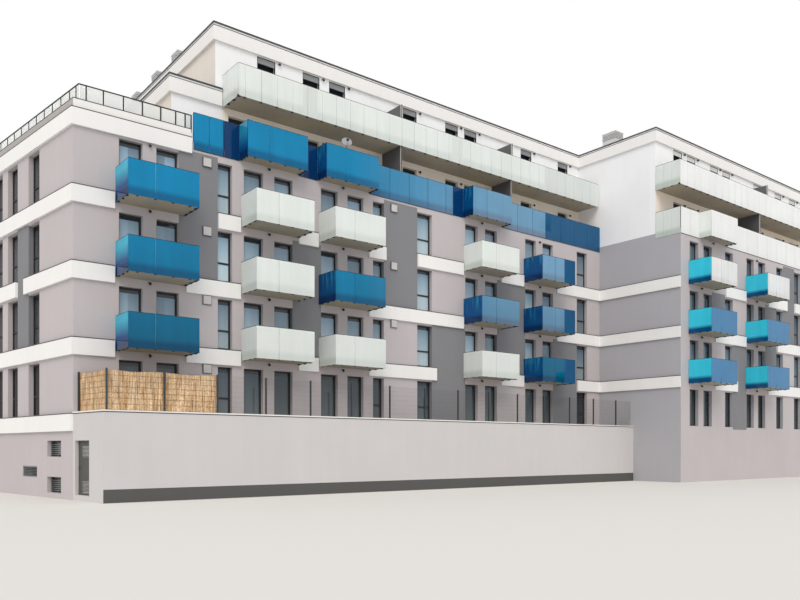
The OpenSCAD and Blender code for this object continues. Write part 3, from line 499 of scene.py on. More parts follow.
def sashes(windows):
    """A ring in each light of the windows, drawn in their face's frame."""
    bm = bmesh.new()
    for window in windows:
        y = window[0].y + sash_back
        for left, right, bottom, top in lights_of(window):
            corners = ((left, y, bottom), (right, y, bottom), (right, y, top), (left, y, top))
            bm.faces.new([bm.verts.new(point) for point in corners])
    panes = bm.faces[:]
    bmesh.ops.inset_individual(bm, faces=panes, thickness=sash_w, use_even_offset=True)
    bmesh.ops.delete(bm, geom=panes, context="FACES")
    grown = bmesh.ops.extrude_face_region(bm, geom=bm.faces[:])["geom"]
    bmesh.ops.translate(bm, verts=points_of(grown), vec=(0, sash_t, 0))
    bmesh.ops.recalc_face_normals(bm, faces=bm.faces)
    return bm


anthracite = satin_paint("anthracite_powder_coat", "#1f2123", 0.5)
sash_paint = satin_paint("sash_anthracite", "#26282b", 0.45)
clad(anthracite, "front_window_frames", "rear_window_frames")
piece("front_sashes", sashes(front_frames), sash_paint)
piece("side_sashes", sashes(side_frames), sash_paint, turn=side)
piece("rear_sashes", sashes(rear_frames), sash_paint, turn=rear)


# Window glass. Sealed double glazing. Its colour holds painted light: a painted sky reflection, light low in
# each storey and darker upwards, each room's in its own tone, a painted reflection of the reveal as a dark
# strip under each head, and painted shade, which makes it almost black where it lies in shade.
room_w = 0.75
# Heights above a storey's floor: the painted sky reflection changes between the first two, and the painted
# reflection of the reveal under the head begins at the third.
painted_sky_from, painted_sky_to, painted_head_line = 0.15, 1.05, 1.045
# Painted shade: where the wing's shade begins, the share of the glass's tone left in it and behind the fence,
# and how wide its soft edges are.
wing_painted_shade_from = wing_corner.x - 1.6
wing_painted_shade_share = 0.4
fence_painted_shade_share = 0.22
painted_shade_soft_edge = 0.3


def window_glass(name, painted_sky_high_hex, painted_sky_low_hex, painted_shade_hex, painted_shade_from):
    """Glass with painted sky and head reflections, its own tone in each window, and painted shade."""
    material, tree, place = new_material(name)
    x, _, z = add(tree, "SeparateXYZ", {0: place}).outputs
    above = add(tree, "Math", {0: z, 1: first_floor}, operation="SUBTRACT")
    rise_in = add(tree, "Math", {0: above, 1: storey}, operation="FLOORED_MODULO")
    painted_sky_sweep = add(tree, "MapRange", {"Value": rise_in, "From Min": painted_sky_from, "From Max": painted_sky_to})
    tone = add(tree, "Mix", {0: painted_sky_sweep, 6: linear(painted_sky_low_hex), 7: linear(painted_sky_high_hex)}, data_type="RGBA").outputs[2]
    room = add(tree, "VectorMath", {0: place, 1: (1 / room_w, 0, 1 / storey)}, operation="MULTIPLY")
    room = add(tree, "VectorMath", {0: room}, operation="FLOOR")
    own = add(tree, "TexWhiteNoise", {"Vector": room}, noise_dimensions="3D").outputs["Value"]
    own = add(tree, "MapRange", {"Value": own, "To Min": 0.62, "To Max": 1.15})
    tone = add(tree, "VectorMath", {0: tone, "Scale": own}, operation="SCALE")
    for value, start, end, low, high in ((x, wing_painted_shade_from, wing_painted_shade_from + painted_shade_soft_edge, 1, wing_painted_shade_share),
                                         (z, floor_z(2) - painted_shade_soft_edge, floor_z(2), fence_painted_shade_share, 1)):
        shade = add(tree, "MapRange", {"Value": value, "From Min": start, "From Max": end,
                                       "To Min": low, "To Max": high})
        tone = add(tree, "VectorMath", {0: tone, "Scale": shade}, operation="SCALE")
    tone = mottle(tree, place, 0.12, 0.05, tone, (1, 1, 0.04))
    head = add(tree, "Math", {0: rise_in, 1: painted_head_line}, operation="GREATER_THAN")
    painted_upper_shade = add(tree, "Math", {0: z, 1: painted_shade_from}, operation="GREATER_THAN")
    dark = add(tree, "Math", {0: head, 1: painted_upper_shade}, operation="MAXIMUM")
    tone = add(tree, "Mix", {0: dark, 6: tone, 7: linear(painted_shade_hex)}, data_type="RGBA").outputs[2]
    shader = add(tree, "BsdfPrincipled", {"Base Color": tone, "Roughness": 0.04, "IOR": 1.52,
                                          "Normal": grain(tree, place, 0.5, 0.001, 0.15)})
    add(tree, "OutputMaterial", {"Surface": shader})
    return material


# The side and rear glass is painted dark all over: painted shade.
clad(window_glass("street_double_glazing", "#86a6be", "#cbdfe9", "#2b343b", floor_z(5)), "front_window_glass")
clad(window_glass("side_double_glazing", "#3a3d42", "#52575c", "#202326", floor_z(6)), "rear_window_glass")


# Roller shutters. Grey aluminium slats, white on the wing, let down over the top of each window of the
# seventh storey, with a bottom bar, between two dark guides in the reveal.
slat_pitch = 0.0195
slat_foot, slat_gap, slat_round = 0.002, 0.001, 0.003
guide_w, guide_l, guide_proud = 0.018, 1.2, 0.004
bottom_bar_h, bottom_bar_proud = 0.012, 0.003


def round_off(bm, radius):
    """Rounds every edge a little."""
    bmesh.ops.bevel(bm, geom=bm.edges, offset=radius, segments=2, profile=0.5, affect="EDGES", material=-1)


near_slats, wing_slats, guides = bmesh.new(), bmesh.new(), bmesh.new()
for low, high, _ in solids("roller_shutters"):
    slats = near_slats if low.x < wing_corner.x else wing_slats
    left, right, front = low.x + guide_w, high.x - guide_w, low.y - guide_proud
    count = round((high.z - low.z) / slat_pitch)
    for i in range(count):
        z = low.z + i * (high.z - low.z) / count
        block(slats, (left, low.y, z + slat_foot), (right, high.y, z + slat_pitch - slat_gap))
    block(guides, (left, low.y - bottom_bar_proud, low.z - bottom_bar_h), (right, high.y, low.z))
    block(guides, (left, front, high.z - guide_w), (right, low.y, high.z))
    for x in (low.x, right):
        block(guides, (x, front, high.z - guide_l), (x + guide_w, high.y + guide_proud, high.z))
round_off(near_slats, slat_round)
round_off(wing_slats, slat_round)
grey_enamel = satin_paint("grey_shutter_enamel", "#9a9da0")
white_enamel = satin_paint("white_shutter_enamel", "#e9e9e6")
near_shutters = piece("near_shutter_slats", near_slats, grey_enamel)
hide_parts("roller_shutters")
piece("wing_shutter_slats", wing_slats, white_enamel)
piece("shutter_guides", guides, anthracite)


# Plinth grilles and louvre. Flat bars on three uprights guard the two low windows of the side wall, and a
# louvre in a pale rim stands beyond them; all are painted metal.
bar_pitch = 0.04
bar_h = 0.012
bars_out, uprights_out, uprights_in = 0.03, 0.022, 0.014
upright_w = 0.012

bm = bmesh.new()
for low, high, _ in side_frames:
    if low.z < first_floor - wall_t:
        for i in range(1, int((high.z - low.z) / bar_pitch)):
            z = low.z + i * bar_pitch
            block(bm, (low.x, low.y - bars_out, z), (high.x, low.y - uprights_out, z + bar_h))
        for x in (low.x + upright_w, (low.x + high.x) / 2, high.x - 2 * upright_w):
            block(bm, (x, low.y - uprights_out, low.z), (x + upright_w, low.y - uprights_in, high.z))
piece("plinth_grilles", bm, satin_paint("grey_grille_paint", "#6d7072"), turn=side)
clad(satin_paint("grey_louvre_paint", "#8b8e90"), "plinth_louvre")


# Vent covers. A folded box on the wall, painted a darker grey to deepen the shade, carries a lighter square
# plate that stands off it, so that a dark line runs all round the plate: partly real shade, partly painted
# shade.
plate_in = 0.012
plate_t = 0.009
plate_round = 0.003
box_back = 0.012

boxes, plates = bmesh.new(), bmesh.new()
for low, high, _ in solids("wall_vents"):
    block(boxes, (low.x, low.y + box_back, low.z), high)
    block(plates, (low.x + plate_in, low.y, low.z + plate_in),
          (high.x - plate_in, low.y + plate_t, high.z - plate_in))
round_off(plates, plate_round)
vent_boxes = piece("vent_boxes", boxes, satin_paint("vent_box_painted_shade_grey", "#66686a"))
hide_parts("wall_vents")
piece("vent_plates", plates, satin_paint("light_grey_vent_plate", "#c6c4c3"))


# Balcony glass. Laminated safety glass with a deep blue or a milky film between its sheets, hung outside
# the slab's edges. Its foot is painted darker where the slab stands behind it: painted shade. Its fronts hold
# painted reflections, and some of its sides a painted glow of light from behind.
# The glass begins this far under each floor line. The slab's painted shade ends between two heights above its
# foot.
glass_reach = 0.3
painted_slab_shade_from, painted_slab_shade_to = 0.27, 0.37
balcony_top = 0.55 + glass_reach
terrace_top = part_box("blue_glass")[1].z
terrace_foot = floor_z(5) - 0.145
gallery_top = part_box("gallery_glass")[1].z
glass_tops = [floor_z(n) - glass_reach + balcony_top for n in (2, 3, 4)] + [terrace_top, gallery_top]
edge_line, edge_hex = 0.01, "#26333b"
# Along the street: where the near fronts' painted sky reflection begins, where it is strongest, and where the
# painted reflection of the wing's shaded wall takes over.
painted_sky_start, painted_sky_full, painted_sky_end = wing_corner.x - 9.8, wing_corner.x - 4.9, wing_corner.x - 2.6
balconies = solids("balcony_slabs")
# Beside each balcony that stands out on the terrace, the flat glass holds a painted reflection of its end, this
# wide.
painted_mirror_ends = [low.x for low, high, _ in balconies if low.z > floor_z(5) - wall_t and low.x < wing_corner.x]
painted_mirror_w = 0.39
# Painted glow in streaks in the near block's ends, strongest at the corner.
glow_streak_size, glow_streak_stretch = 1 / 1.6, (3, 7, 1)
painted_glow_share, painted_glow_from, painted_glow_to = 0.75, corner.x + 2.5, corner.x + 4.5


def laminated_glass(name, near_front, wing_front, near_side, wing_side, painted_sky_share, clear, streaks, dim):
    """Film-tinted glass, each face with a painted shade tone at its foot, before the slab, and another above.
    """
    material, tree, place = new_material(name)
    x, _, z = add(tree, "SeparateXYZ", {0: place}).outputs
    above = add(tree, "Math", {0: z, 1: first_floor - glass_reach}, operation="SUBTRACT")
    above = add(tree, "Math", {0: above, 1: storey}, operation="FLOORED_MODULO")
    above_painted_slab_shade = add(tree, "MapRange", {"Value": above, "From Min": painted_slab_shade_from, "From Max": painted_slab_shade_to})
    top_rows = add(tree, "Math", {0: z, 1: floor_z(4) - glass_reach}, operation="GREATER_THAN")
    faces = ((above_painted_slab_shade, near_front), (top_rows, wing_front), (above_painted_slab_shade, near_side), (above_painted_slab_shade, wing_side))
    front, wing, end, wing_end = (
        add(tree, "Mix", {0: share, 6: linear(tones[0]), 7: linear(tones[1])}, data_type="RGBA").outputs[2]
        for share, tones in faces)

    # The near fronts are painted darker low down. High up they hold a painted reflection of more of the sky
    # towards the wing, and of its shaded wall in the last stretch. Beside each balcony that stands out, the
    # flat glass holds a painted reflection of its end.
    painted_low_darkening = add(tree, "MapRange", {"Value": z, "From Min": floor_z(2), "From Max": floor_z(4),
                                  "To Min": dim, "To Max": 1})
    front = add(tree, "VectorMath", {0: front, "Scale": painted_low_darkening}, operation="SCALE")
    painted_sky_mask = add(tree, "MapRange", {"Value": x, "From Min": painted_sky_start, "From Max": painted_sky_full,
                                      "To Min": 0, "To Max": painted_sky_share})
    painted_sky_rise = add(tree, "MapRange", {"Value": z, "From Min": floor_z(3) - glass_reach, "From Max": floor_z(4),
                                   "To Min": 0.6, "To Max": 1})
    third_up = add(tree, "Math", {0: z, 1: floor_z(3) - glass_reach}, operation="GREATER_THAN")
    for share in (painted_sky_rise, third_up):
        painted_sky_mask = add(tree, "Math", {0: painted_sky_mask, 1: share}, operation="MULTIPLY")
    painted_wall_mirror = add(tree, "Math", {0: x, 1: painted_sky_end}, operation="GREATER_THAN")
    painted_reflections = [(painted_sky_mask, "#ffffff"), (painted_wall_mirror, near_front[2])]
    on_terrace = add(tree, "Math", {0: z, 1: terrace_foot}, operation="GREATER_THAN")
    for left in painted_mirror_ends:
        painted_mirror_zone = add(tree, "Math", {0: x, 1: left - painted_mirror_w / 2, 2: painted_mirror_w / 2}, operation="COMPARE")
        painted_mirror_zone = add(tree, "Math", {0: painted_mirror_zone, 1: on_terrace}, operation="MULTIPLY")
        painted_reflections.append((painted_mirror_zone, near_side[2]))
    for share, hex_colour in painted_reflections:
        front = add(tree, "Mix", {0: share, 6: front, 7: linear(hex_colour)}, data_type="RGBA").outputs[2]

    # The near block's ends hold a painted glow in streaks above the slab, less and less away from the corner.
    painted_glow_patches = add(tree, "VectorMath", {0: place, 1: glow_streak_stretch}, operation="MULTIPLY")
    painted_glow_patches = add(tree, "TexNoise", {"Vector": painted_glow_patches, "Scale": 1 / glow_streak_size, "Detail": 2})
    painted_glow_patches = add(tree, "MapRange", {"Value": painted_glow_patches, "From Min": 0.5, "From Max": 0.62})
    painted_glow_patches = add(tree, "Math", {0: painted_glow_patches, 1: 0.25}, operation="MULTIPLY")
    near = add(tree, "MapRange", {"Value": x, "From Min": painted_glow_from, "From Max": painted_glow_to,
                                  "To Min": painted_glow_share, "To Max": 0})
    glow = add(tree, "MapRange", {"Value": above, "From Min": 0.4, "From Max": 0.7})
    for share in (painted_glow_patches, near):
        share = add(tree, "Math", {0: share, 1: glow}, operation="MULTIPLY")
        end = add(tree, "Mix", {0: share, 6: end, 7: linear(wing_side[1])}, data_type="RGBA").outputs[2]

    # On the wing the fronts take their tones with painted sky reflection, and the ends their painted glow.
    on_wing = add(tree, "Math", {0: x, 1: wing_corner.x}, operation="GREATER_THAN")
    front = add(tree, "Mix", {0: on_wing, 6: front, 7: wing}, data_type="RGBA").outputs[2]
    end = add(tree, "Mix", {0: on_wing, 6: end, 7: wing_end}, data_type="RGBA").outputs[2]
    facing = add(tree, "SeparateXYZ", {0: add(tree, "NewGeometry").outputs["Normal"]}).outputs["X"]
    frontal = add(tree, "Math", {0: facing, 1: 0, 2: 0.5}, operation="COMPARE")
    tone = add(tree, "Mix", {0: frontal, 6: end, 7: front}, data_type="RGBA").outputs[2]
    tone = mottle(tree, place, 0.14, streaks, tone, (1, 1, 0.05))
    tone = mottle(tree, place, 0.9, streaks, tone)
    for top in glass_tops:
        edge = add(tree, "Math", {0: z, 1: top - edge_line / 2, 2: edge_line / 2}, operation="COMPARE")
        tone = add(tree, "Mix", {0: edge, 6: tone, 7: linear(edge_hex)}, data_type="RGBA").outputs[2]
    shader = add(tree, "BsdfPrincipled", {"Base Color": tone, "Roughness": 0.03, "IOR": 1.3,
                                          "Transmission Weight": clear})
    add(tree, "OutputMaterial", {"Surface": shader})
    return material


# Each film's tones, at the glass's foot, where it holds painted shade, and above it. The wing's fronts have one
# for the lower rows and one for the top row, both with painted sky reflection; a third tone is the painted
# reflection on the near fronts' last stretch, and of what the flat glass mirrors. The wing's ends hold a
# painted glow.
blue_film = laminated_glass(
    "blue_film_glass", near_front=("#0076ab", "#0098cd", "#21689a"), wing_front=("#4f93c6", "#ffffff"),
    near_side=("#06386f", "#0a5a9c", "#08447e"), wing_side=("#06588f", "#48e4ff"),
    painted_sky_share=0.22, clear=0.35, streaks=0.05, dim=0.5)
milky_film = laminated_glass(
    "milky_film_glass", near_front=("#e6eeea", "#f2f8f5", "#e6ecea"), wing_front=("#fbfdfd", "#fbfdfd"),
    near_side=("#d3dcd7", "#eef4f1", "#e9f0ed"), wing_side=("#dde5e1", "#f7fdfa"),
    painted_sky_share=0, clear=0.18, streaks=0.025, dim=0.92)
clad(blue_film, "blue_glass")
clad(milky_film, "pale_glass", "gallery_glass")


# Glass clamps. Black blocks screwed under the slab's edges carry the glass: four along the front of each
# balcony and three at each side. The gallery has one at every joint.
front_clamps, side_clamps = 4, 3
clamp_w, clamp_in, clamp_h = 0.036, 0.035, 0.012
pane_t = 0.010
# How far the glass hangs below its slab.
glass_below, terrace_glass_below = 0.0151, 0.0201
joint_back, joint_on = 0.02, 0.016
end_joint_back, end_joint_on = 0.004, 0.032
joint_h, joint_in, joint_up = 0.014, 0.06, 0.025

bm = bmesh.new()
for low, high, _ in balconies:
    foot = low.z - (terrace_glass_below if low.z > floor_z(5) - wall_t else glass_below)
    for i in range(front_clamps):
        x = low.x + (i + 0.5) * (high.x - low.x) / front_clamps
        block(bm, (x - clamp_w / 2, low.y - pane_t, foot - clamp_h), (x + clamp_w / 2, low.y, foot))
        block(bm, (x - clamp_w / 2, low.y, foot - clamp_h), (x + clamp_w / 2, low.y + clamp_in, low.z))
    for i in range(side_clamps):
        y = low.y + (i + 0.5) * (high.y - low.y) / side_clamps
        for edge, way in ((low.x, -1), (high.x, 1)):
            for reach, top in ((way * pane_t, foot), (-way * clamp_in, low.z)):
                start, end = sorted((edge, edge + reach))
                block(bm, (start, y - clamp_w / 2, foot - clamp_h), (end, y + clamp_w / 2, top))
clamp_black = satin_paint("black_clamp_coat", "#17181a")
piece("balcony_glass_clamps", bm, clamp_black)

bm = bmesh.new()
for low, high, _ in solids("gallery_glass"):
    foot = low.z - joint_h
    if high.x - low.x > high.y - low.y:
        start, end, middle = low.x - joint_back, low.x + joint_on, low.y + pane_t
        block(bm, (start, low.y, foot), (end, middle, low.z))
        block(bm, (start, middle, foot), (end, low.y + joint_in, low.z + joint_up))
    else:
        start, end, middle = low.y - end_joint_back, low.y + end_joint_on, low.x + pane_t
        block(bm, (low.x, start, foot), (middle, end, low.z))
        block(bm, (middle, start, foot), (low.x + joint_in, end, low.z + joint_up))
piece("gallery_glass_clamps", bm, clamp_black)


# Terrace edge profile and posts. A dark angle carries the foot of the flat glass in front of the terrace, and
# a slim post stands behind each joint on the terrace's edge.
angle_h, angle_lap, angle_proud = 0.012, 0.005, 0.002
post_w, post_back, post_low = 0.012, 0.002, 0.01
half_joint = 0.004

bm = bmesh.new()
for name in ("blue_glass", "pale_glass"):
    for low, high, _ in solids(name):
        on_wall = min(abs(high.y - corner.y), abs(high.y - wing_corner.y)) < 0.002
        if on_wall and high.x - low.x > high.y - low.y:
            end = min(high.x + angle_lap, cad_box[1].x)
            block(bm, (low.x - angle_lap, low.y - angle_proud, low.z - angle_h), (end, high.y, low.z))
            x = max(low.x - half_joint - post_w / 2, corner.x)
            back = high.y + post_back
            block(bm, (x, back, floor_z(5)), (x + post_w, back + post_w, high.z - post_low))
piece("terrace_edge_profile", bm, clamp_black)


# Gallery dividers. Dark compact board between the flats, matt and even, with a light enamelled post at its
# street edge that stands out a little on both sides.
post_d, post_out = 0.03, 0.004

bm = bmesh.new()
for low, high, _ in solids("gallery_dividers"):
    block(bm, (low.x - post_out, low.y, low.z), (high.x + post_out, low.y + post_d, high.z))
piece("divider_posts", bm, satin_paint("light_post_enamel", "#cfcdca"))

material, tree, place = new_material("compact_board")
height = add(tree, "SeparateXYZ", {0: place}).outputs["Z"]
upper = add(tree, "Math", {0: height, 1: floor_z(6)}, operation="GREATER_THAN")
tone = add(tree, "Mix", {0: upper, 6: linear("#57575c"), 7: linear("#5f6063")}, data_type="RGBA").outputs[2]
shader = add(tree, "BsdfPrincipled", {"Base Color": mottle(tree, place, 0.3, 0.05, tone), "Roughness": 0.6})
add(tree, "OutputMaterial", {"Surface": shader})
clad(material, "gallery_dividers")


# Lamps. Small black wall lamps, one between the two doors of each balcony and one beside each window of the
# upper storeys: a plate on the wall, a short arm and a round shade.
head_height = 1.15
under_slab = 0.045
plate_w, plate_out = 0.032, 0.006
arm_w, arm_t, arm_out = 0.012, 0.01, 0.045
lamp_r, lamp_drop, lamp_long = 0.026, 0.02, 1.3
beside_window = 0.1


def lamp(bm, x, wall_y, z):
    """A back plate, an arm and a round shade that hangs from it."""
    plate_y, arm_y = wall_y - plate_out, wall_y - arm_out
    block(bm, (x - plate_w / 2, plate_y, z - lamp_drop), (x + plate_w / 2, wall_y, z + lamp_drop))
    block(bm, (x - arm_w / 2, arm_y, z), (x + arm_w / 2, plate_y, z + arm_t))
    shade = Matrix.Translation((x, arm_y, z - lamp_drop)) @ Matrix.Diagonal((1, 1, lamp_long, 1))
    bmesh.ops.create_icosphere(bm, subdivisions=2, radius=lamp_r, matrix=shade)


bm = bmesh.new()
for low, high, _ in balconies:
    doors = [f for f in front_frames if low.x < (f[0].x + f[1].x) / 2 < high.x
             and 0 < low.z - f[1].z < 0.6 and abs(f[0].y - high.y) < wall_t]
    middle = (doors[0][1].x + doors[1][0].x) / 2 if len(doors) > 1 else (low.x + high.x) / 2
    lamp(bm, middle, high.y, low.z - under_slab)
    roofed = any(abs(low.x - other[0].x) < 0.6 and other[0].z > high.z for other in balconies)
    if not roofed and high.z < floor_z(5) - wall_t:
        lamp(bm, middle, high.y, floor_z(4) + head_height)
for low, high, _ in front_frames:
    if low.z > floor_z(5):
        lamp(bm, high.x + beside_window, low.y - reveal, high.z - lamp_drop)
piece("wall_lamps", bm, clamp_black)


# Dish. A pressed steel dish half a metre across on the real block, in grey enamel, tilted to the sky on a
# thin mast behind the glass of the second balcony at the terrace. A black head sits at its arm's end; it is
# drawn large, so that it also stands for the shade inside the dish: painted shade.
dish_r = 0.125
dish_deep = 0.3
dish_at = Vector((-6.25, corner.y - 0.29, 8.2))
dish_faces = Vector((-0.3, -0.75, 0.35)).normalized()
rim_w, bowl_in = 0.012, 0.02
mast_r, mast_short, mast_foot = 0.012, 0.02, floor_z(5) - 0.015
arm_r, arm_l = 0.005, 0.1
head_and_shade_r = 0.036

dish, head = bmesh.new(), bmesh.new()
turned = dish_faces.to_track_quat("Z", "Y").to_matrix().to_4x4()
bmesh.ops.create_uvsphere(dish, u_segments=32, v_segments=16, radius=dish_r)
cut = bmesh.ops.bisect_plane(dish, geom=dish.verts[:] + dish.edges[:] + dish.faces[:], plane_co=(0, 0, 0),
                             plane_no=(0, 0, 1), clear_outer=True)["geom_cut"]
rim = [e for e in cut if isinstance(e, bmesh.types.BMEdge)]
bowl = bmesh.ops.contextual_create(dish, geom=rim)["faces"]
bmesh.ops.inset_region(dish, faces=bowl, thickness=rim_w, depth=-bowl_in)
bmesh.ops.transform(dish, matrix=Matrix.Translation(dish_at) @ turned @ Matrix.Diagonal((1, 1, dish_deep, 1)),
                    verts=dish.verts)
mast_at = dish_at - dish_faces * dish_r * dish_deep
mast_top = dish_at.z - mast_short
mast = Matrix.Translation((mast_at.x, mast_at.y, (mast_foot + mast_top) / 2))
bmesh.ops.create_cone(dish, cap_ends=True, segments=12, radius1=mast_r, radius2=mast_r,
                      depth=mast_top - mast_foot, matrix=mast)
arm_end = dish_at + turned.to_3x3() @ Vector((0, -dish_r * 0.3, arm_l))
arm_foot = dish_at + turned.to_3x3() @ Vector((0, -dish_r, 0))
arm_way = (arm_end - arm_foot).to_track_quat("Z", "Y").to_matrix().to_4x4()
arm_middle = Matrix.Translation((arm_foot + arm_end) / 2)
bmesh.ops.create_cone(dish, cap_ends=True, segments=8, radius1=arm_r, radius2=arm_r,
                      depth=(arm_end - arm_foot).length, matrix=arm_middle @ arm_way)
bmesh.ops.create_icosphere(head, subdivisions=2, radius=head_and_shade_r, matrix=Matrix.Translation(arm_end))
piece("terrace_dish", dish, satin_paint("grey_dish_enamel", "#95979a"))
piece("terrace_dish_head", head, clamp_black)


# Roof terrace rail. Square steel posts and a square top bar, powder-coated anthracite, carry panes of pale
# laminated glass on the parapet, smooth and half clear. The bars meet over the corner, with no post there.
rail_bar = 0.02
rail_post_w = 0.024
rail_glass_t, rail_glass_foot, rail_glass_gap = 0.008, 0.02, 0.012
# How far from the near corner the street rail's posts stand.
street_posts = (0.29, 0.616, 1.006, 1.388, 1.766, 2.085, 2.291)
side_first, side_second, side_pitch = 0.27, 0.56, 0.4145
past_cad = 0.085


def rail_run(bars, panes, line, places):
    """A top bar from start to end, posts at the given places and a pane in each bay, on one line."""
    start, end, y, z_low, z_high = line
    front, back, under = y - rail_bar / 2, y + rail_bar / 2, z_high - rail_bar
    half = rail_post_w / 2
    block(bars, (start, front, under), (end, back, z_high))
    for x in places:
        block(bars, (x - half, front, z_low), (x + half, back, under))
    edge = half + rail_glass_gap
    stops = sorted({start - half, *places, end + half})
    for left, right in zip(stops, stops[1:]):
        if right - left > 4 * edge:
            block(panes, (left + edge, y - rail_glass_t / 2, z_low + rail_glass_foot),
                  (right - edge, y + rail_glass_t / 2, under - rail_glass_gap))


def rail_line(turn, least_span):
    """The ends, the middle line and the heights of the CAD rail that runs along a face."""
    runs = [r for r in solids("terrace_balustrade", turn)
            if r[1].y - r[0].y < 0.03 and r[1].x - r[0].x > least_span]
    low, high, _ = min(runs, key=lambda run: run[0].y)
    return low.x, high.x, (low.y + high.y) / 2, low.z, high.z


street_bars, street_panes = bmesh.new(), bmesh.new()
start, end, *rest = rail_line(street, 1)
end += past_cad
places = [corner.x + x for x in street_posts] + [end - rail_post_w / 2]
rail_run(street_bars, street_panes, (start, end, *rest), places)
rear_bars, rear_panes = bmesh.new(), bmesh.new()
start, end, *rest = rail_line(rear, 1)
count = round((end - start) / side_pitch)
places = [start + (end - start) * i / count for i in range(1, count)]
rail_run(rear_bars, rear_panes, (start, end, *rest), places + [start + rail_post_w / 2])
side_bars, side_panes = bmesh.new(), bmesh.new()
line = rail_line(side, 3)
count = int((-side_second - line[0]) / side_pitch)
places = [-side_first] + [-side_second - i * side_pitch for i in range(count + 1)]
rail_run(side_bars, side_panes, line, places)
street_rail = piece("street_terrace_rail", street_bars, anthracite)
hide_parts("terrace_balustrade")
piece("side_terrace_rail", side_bars, anthracite, turn=side)
piece("rear_terrace_rail", rear_bars, anthracite, turn=rear)

material, tree, place = new_material("clear_laminated_glass")
tone = mottle(tree, place, 0.4, 0.03, linear("#fafdfb"))
shader = add(tree, "BsdfPrincipled", {"Base Color": tone, "Roughness": 0.03, "IOR": 1.3,
                                      "Transmission Weight": 0.35})
add(tree, "OutputMaterial", {"Surface": shader})
street_glass = piece("street_rail_glass", street_panes, material)
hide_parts("balustrade_glass")
piece("side_rail_glass", side_panes, material, turn=side)
piece("rear_rail_glass", rear_panes, material, turn=rear)


# Fence. Dark posts along the podium's edge carry mats of thin welded wire: uprights every 50 mm and double
# cross wires every 200 mm on the real block. Its coat is satin and nearly black.
wire_t = 0.0012
wire_pitch = 0.025
cross_pitch = 0.1
mat_back = 0.004


def wire_mat(turn):
    """Upright wires between pairs of cross wires, over the CAD lattice that runs along a face."""
    low, high, _ = [s for s in solids("fence_mesh", turn) if s[1].y - s[0].y < 0.02][0]
    bm = bmesh.new()
    front, back = low.y + mat_back - wire_t / 2, low.y + mat_back + wire_t / 2
    for i in range(int((high.x - low.x) / wire_pitch) + 1):
        x = low.x + i * wire_pitch
        block(bm, (x, front, low.z), (x + wire_t, back, high.z))
    rows = int((high.z - low.z) / cross_pitch)
    for i in range(rows + 1):
        z = low.z + i * (high.z - low.z - wire_t) / rows
        for shift in (-wire_t, wire_t):
            block(bm, (low.x, front + shift, z), (high.x, back + shift, z + wire_t))
    return bm


fence_paint = satin_paint("dark_fence_coat", "#33363a")
clad(fence_paint, "fence_posts")
front_wires = piece("front_wire_mat", wire_mat(street), fence_paint)
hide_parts("fence_mesh")
piece("side_wire_mat", wire_mat(side), fence_paint, turn=side)


# Reed mats. Dry stalks, 14 mm thick on the real block, stand side by side, tied to the wire behind the
# fence by rows of thin wire. They are matt, uneven at their tops, and each has its own straw colour.
stalk_pitch = 0.007
stalk_foot_r, stalk_top_r = stalk_pitch * 0.62, stalk_pitch * 0.5
stalk_short = 0.012
tie_pitch, tie_h, tie_hex = 0.105, 0.004, "#7d5a34"


def reed_mat(turn):
    """Stalks with five sides, each a little higher or lower than the next, in the mats along a face."""
    bm = bmesh.new()
    for low, high, _ in solids("reed_screens", turn):
        if high.y - low.y > 0.05:
            continue
        for i in range(int((high.x - low.x) / stalk_pitch)):
            x = low.x + (i + 0.5) * stalk_pitch
            uneven = 0.008 * math.sin(i * 2.4) * math.sin(i * 0.37) + 0.012 * math.cos(i * 0.045)
            top = high.z - stalk_short + uneven
            y = (low.y + high.y) / 2 + 0.0025 * math.sin(i * 1.7)
            middle = Matrix.Translation((x, y, (low.z + top) / 2))
            bmesh.ops.create_cone(bm, cap_ends=True, segments=5, radius1=stalk_foot_r, radius2=stalk_top_r,
                                  depth=top - low.z, matrix=middle)
    return bm


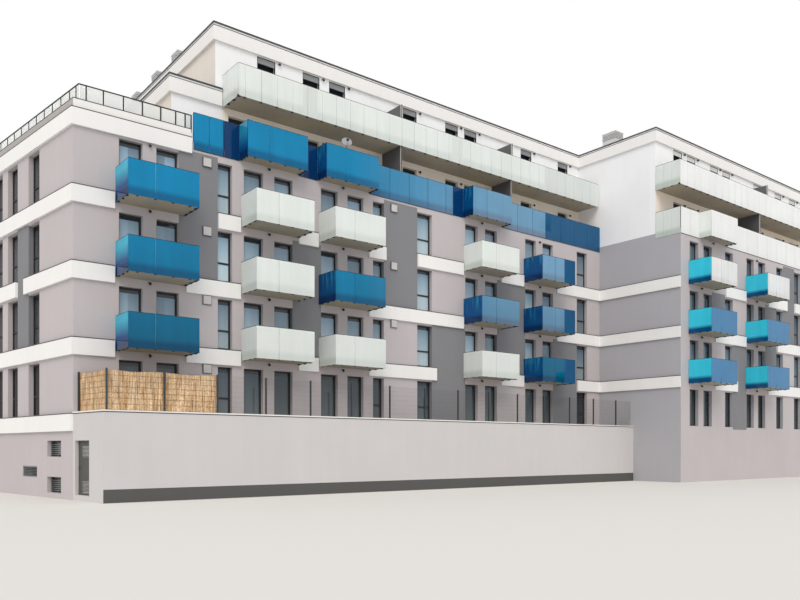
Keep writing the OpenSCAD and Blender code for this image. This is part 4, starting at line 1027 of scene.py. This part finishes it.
material, tree, place = new_material("dry_reed")
long_way = add(tree, "VectorMath", {0: place, 1: (1, 1, 0.02)}, operation="MULTIPLY")
stalk = add(tree, "TexNoise", {"Vector": long_way, "Scale": 1 / (stalk_pitch * 1.2), "Detail": 2})
straw = add(tree, "ValToRGB", {0: stalk})
dark_straw, pale_straw = straw.color_ramp.elements
dark_straw.position, dark_straw.color = 0.32, linear("#8d6237")
pale_straw.position, pale_straw.color = 0.62, linear("#fae6c6")
straw.color_ramp.elements.new(0.46).color = linear("#ddb585")
faded = mottle(tree, place, 0.1, 0.16, straw, (1, 1, 0.35))
faded = mottle(tree, place, 0.02, 0.3, faded, (1, 1, 0.6))
height = add(tree, "SeparateXYZ", {0: place}).outputs["Z"]
row = add(tree, "Math", {0: height, 1: tie_pitch}, operation="FLOORED_MODULO")
tied = add(tree, "Math", {0: row, 1: tie_h}, operation="LESS_THAN")
faded = add(tree, "Mix", {0: tied, 6: faded, 7: linear(tie_hex)}, data_type="RGBA").outputs[2]
shader = add(tree, "BsdfPrincipled", {"Base Color": faded, "Roughness": 0.75, "Specular IOR Level": 0.25,
                                      "Normal": grain(tree, place, 0.004, 0.001)})
add(tree, "OutputMaterial", {"Surface": shader})
front_reed = piece("front_reed_mats", reed_mat(street), material)
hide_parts("reed_screens")
piece("side_reed_mat", reed_mat(side), material, turn=side)


# Plant room door. Grey steel leaf with two pressed louvres, in a steel frame, hung on two hinges at its
# right side, with a black lever on a long plate. The enamel is satin; the louvres are painted paler where their
# blades catch the light: painted highlight.
leaf_hex, louvre_highlight_hex = "#4b4a47", "#d6d6d3"
louvre_in, louvre_w, louvre_h = 0.13, 0.28, 0.225
lower_louvre = 0.035
upper_louvre = 0.07

leaf_low, leaf_high, _ = solids("plant_door", side)[0]
louvre_x = leaf_low.x + louvre_in
material, tree, place = new_material("dark_grey_steel_enamel")
spot = on_the(side, tree, place)
tone = linear(leaf_hex)
# The louvre fields get the paler tone: painted highlight.
for foot in (leaf_low.z + lower_louvre, leaf_high.z - upper_louvre - louvre_h):
    tone = with_field(tree, spot, tone, louvre_x, louvre_x + louvre_w, foot, foot + louvre_h, louvre_highlight_hex)
tone = mottle(tree, place, 0.3, 0.05, tone)
shader = add(tree, "BsdfPrincipled", {"Base Color": tone, "Roughness": 0.55,
                                      "Normal": grain(tree, place, 0.01, 0.0002, 0.3)})
add(tree, "OutputMaterial", {"Surface": shader})
clad(material, "plant_door")
clad(satin_paint("door_frame_enamel", "#565552", 0.55), "plant_door_frame")
clad(clamp_black, "plant_door_handle")
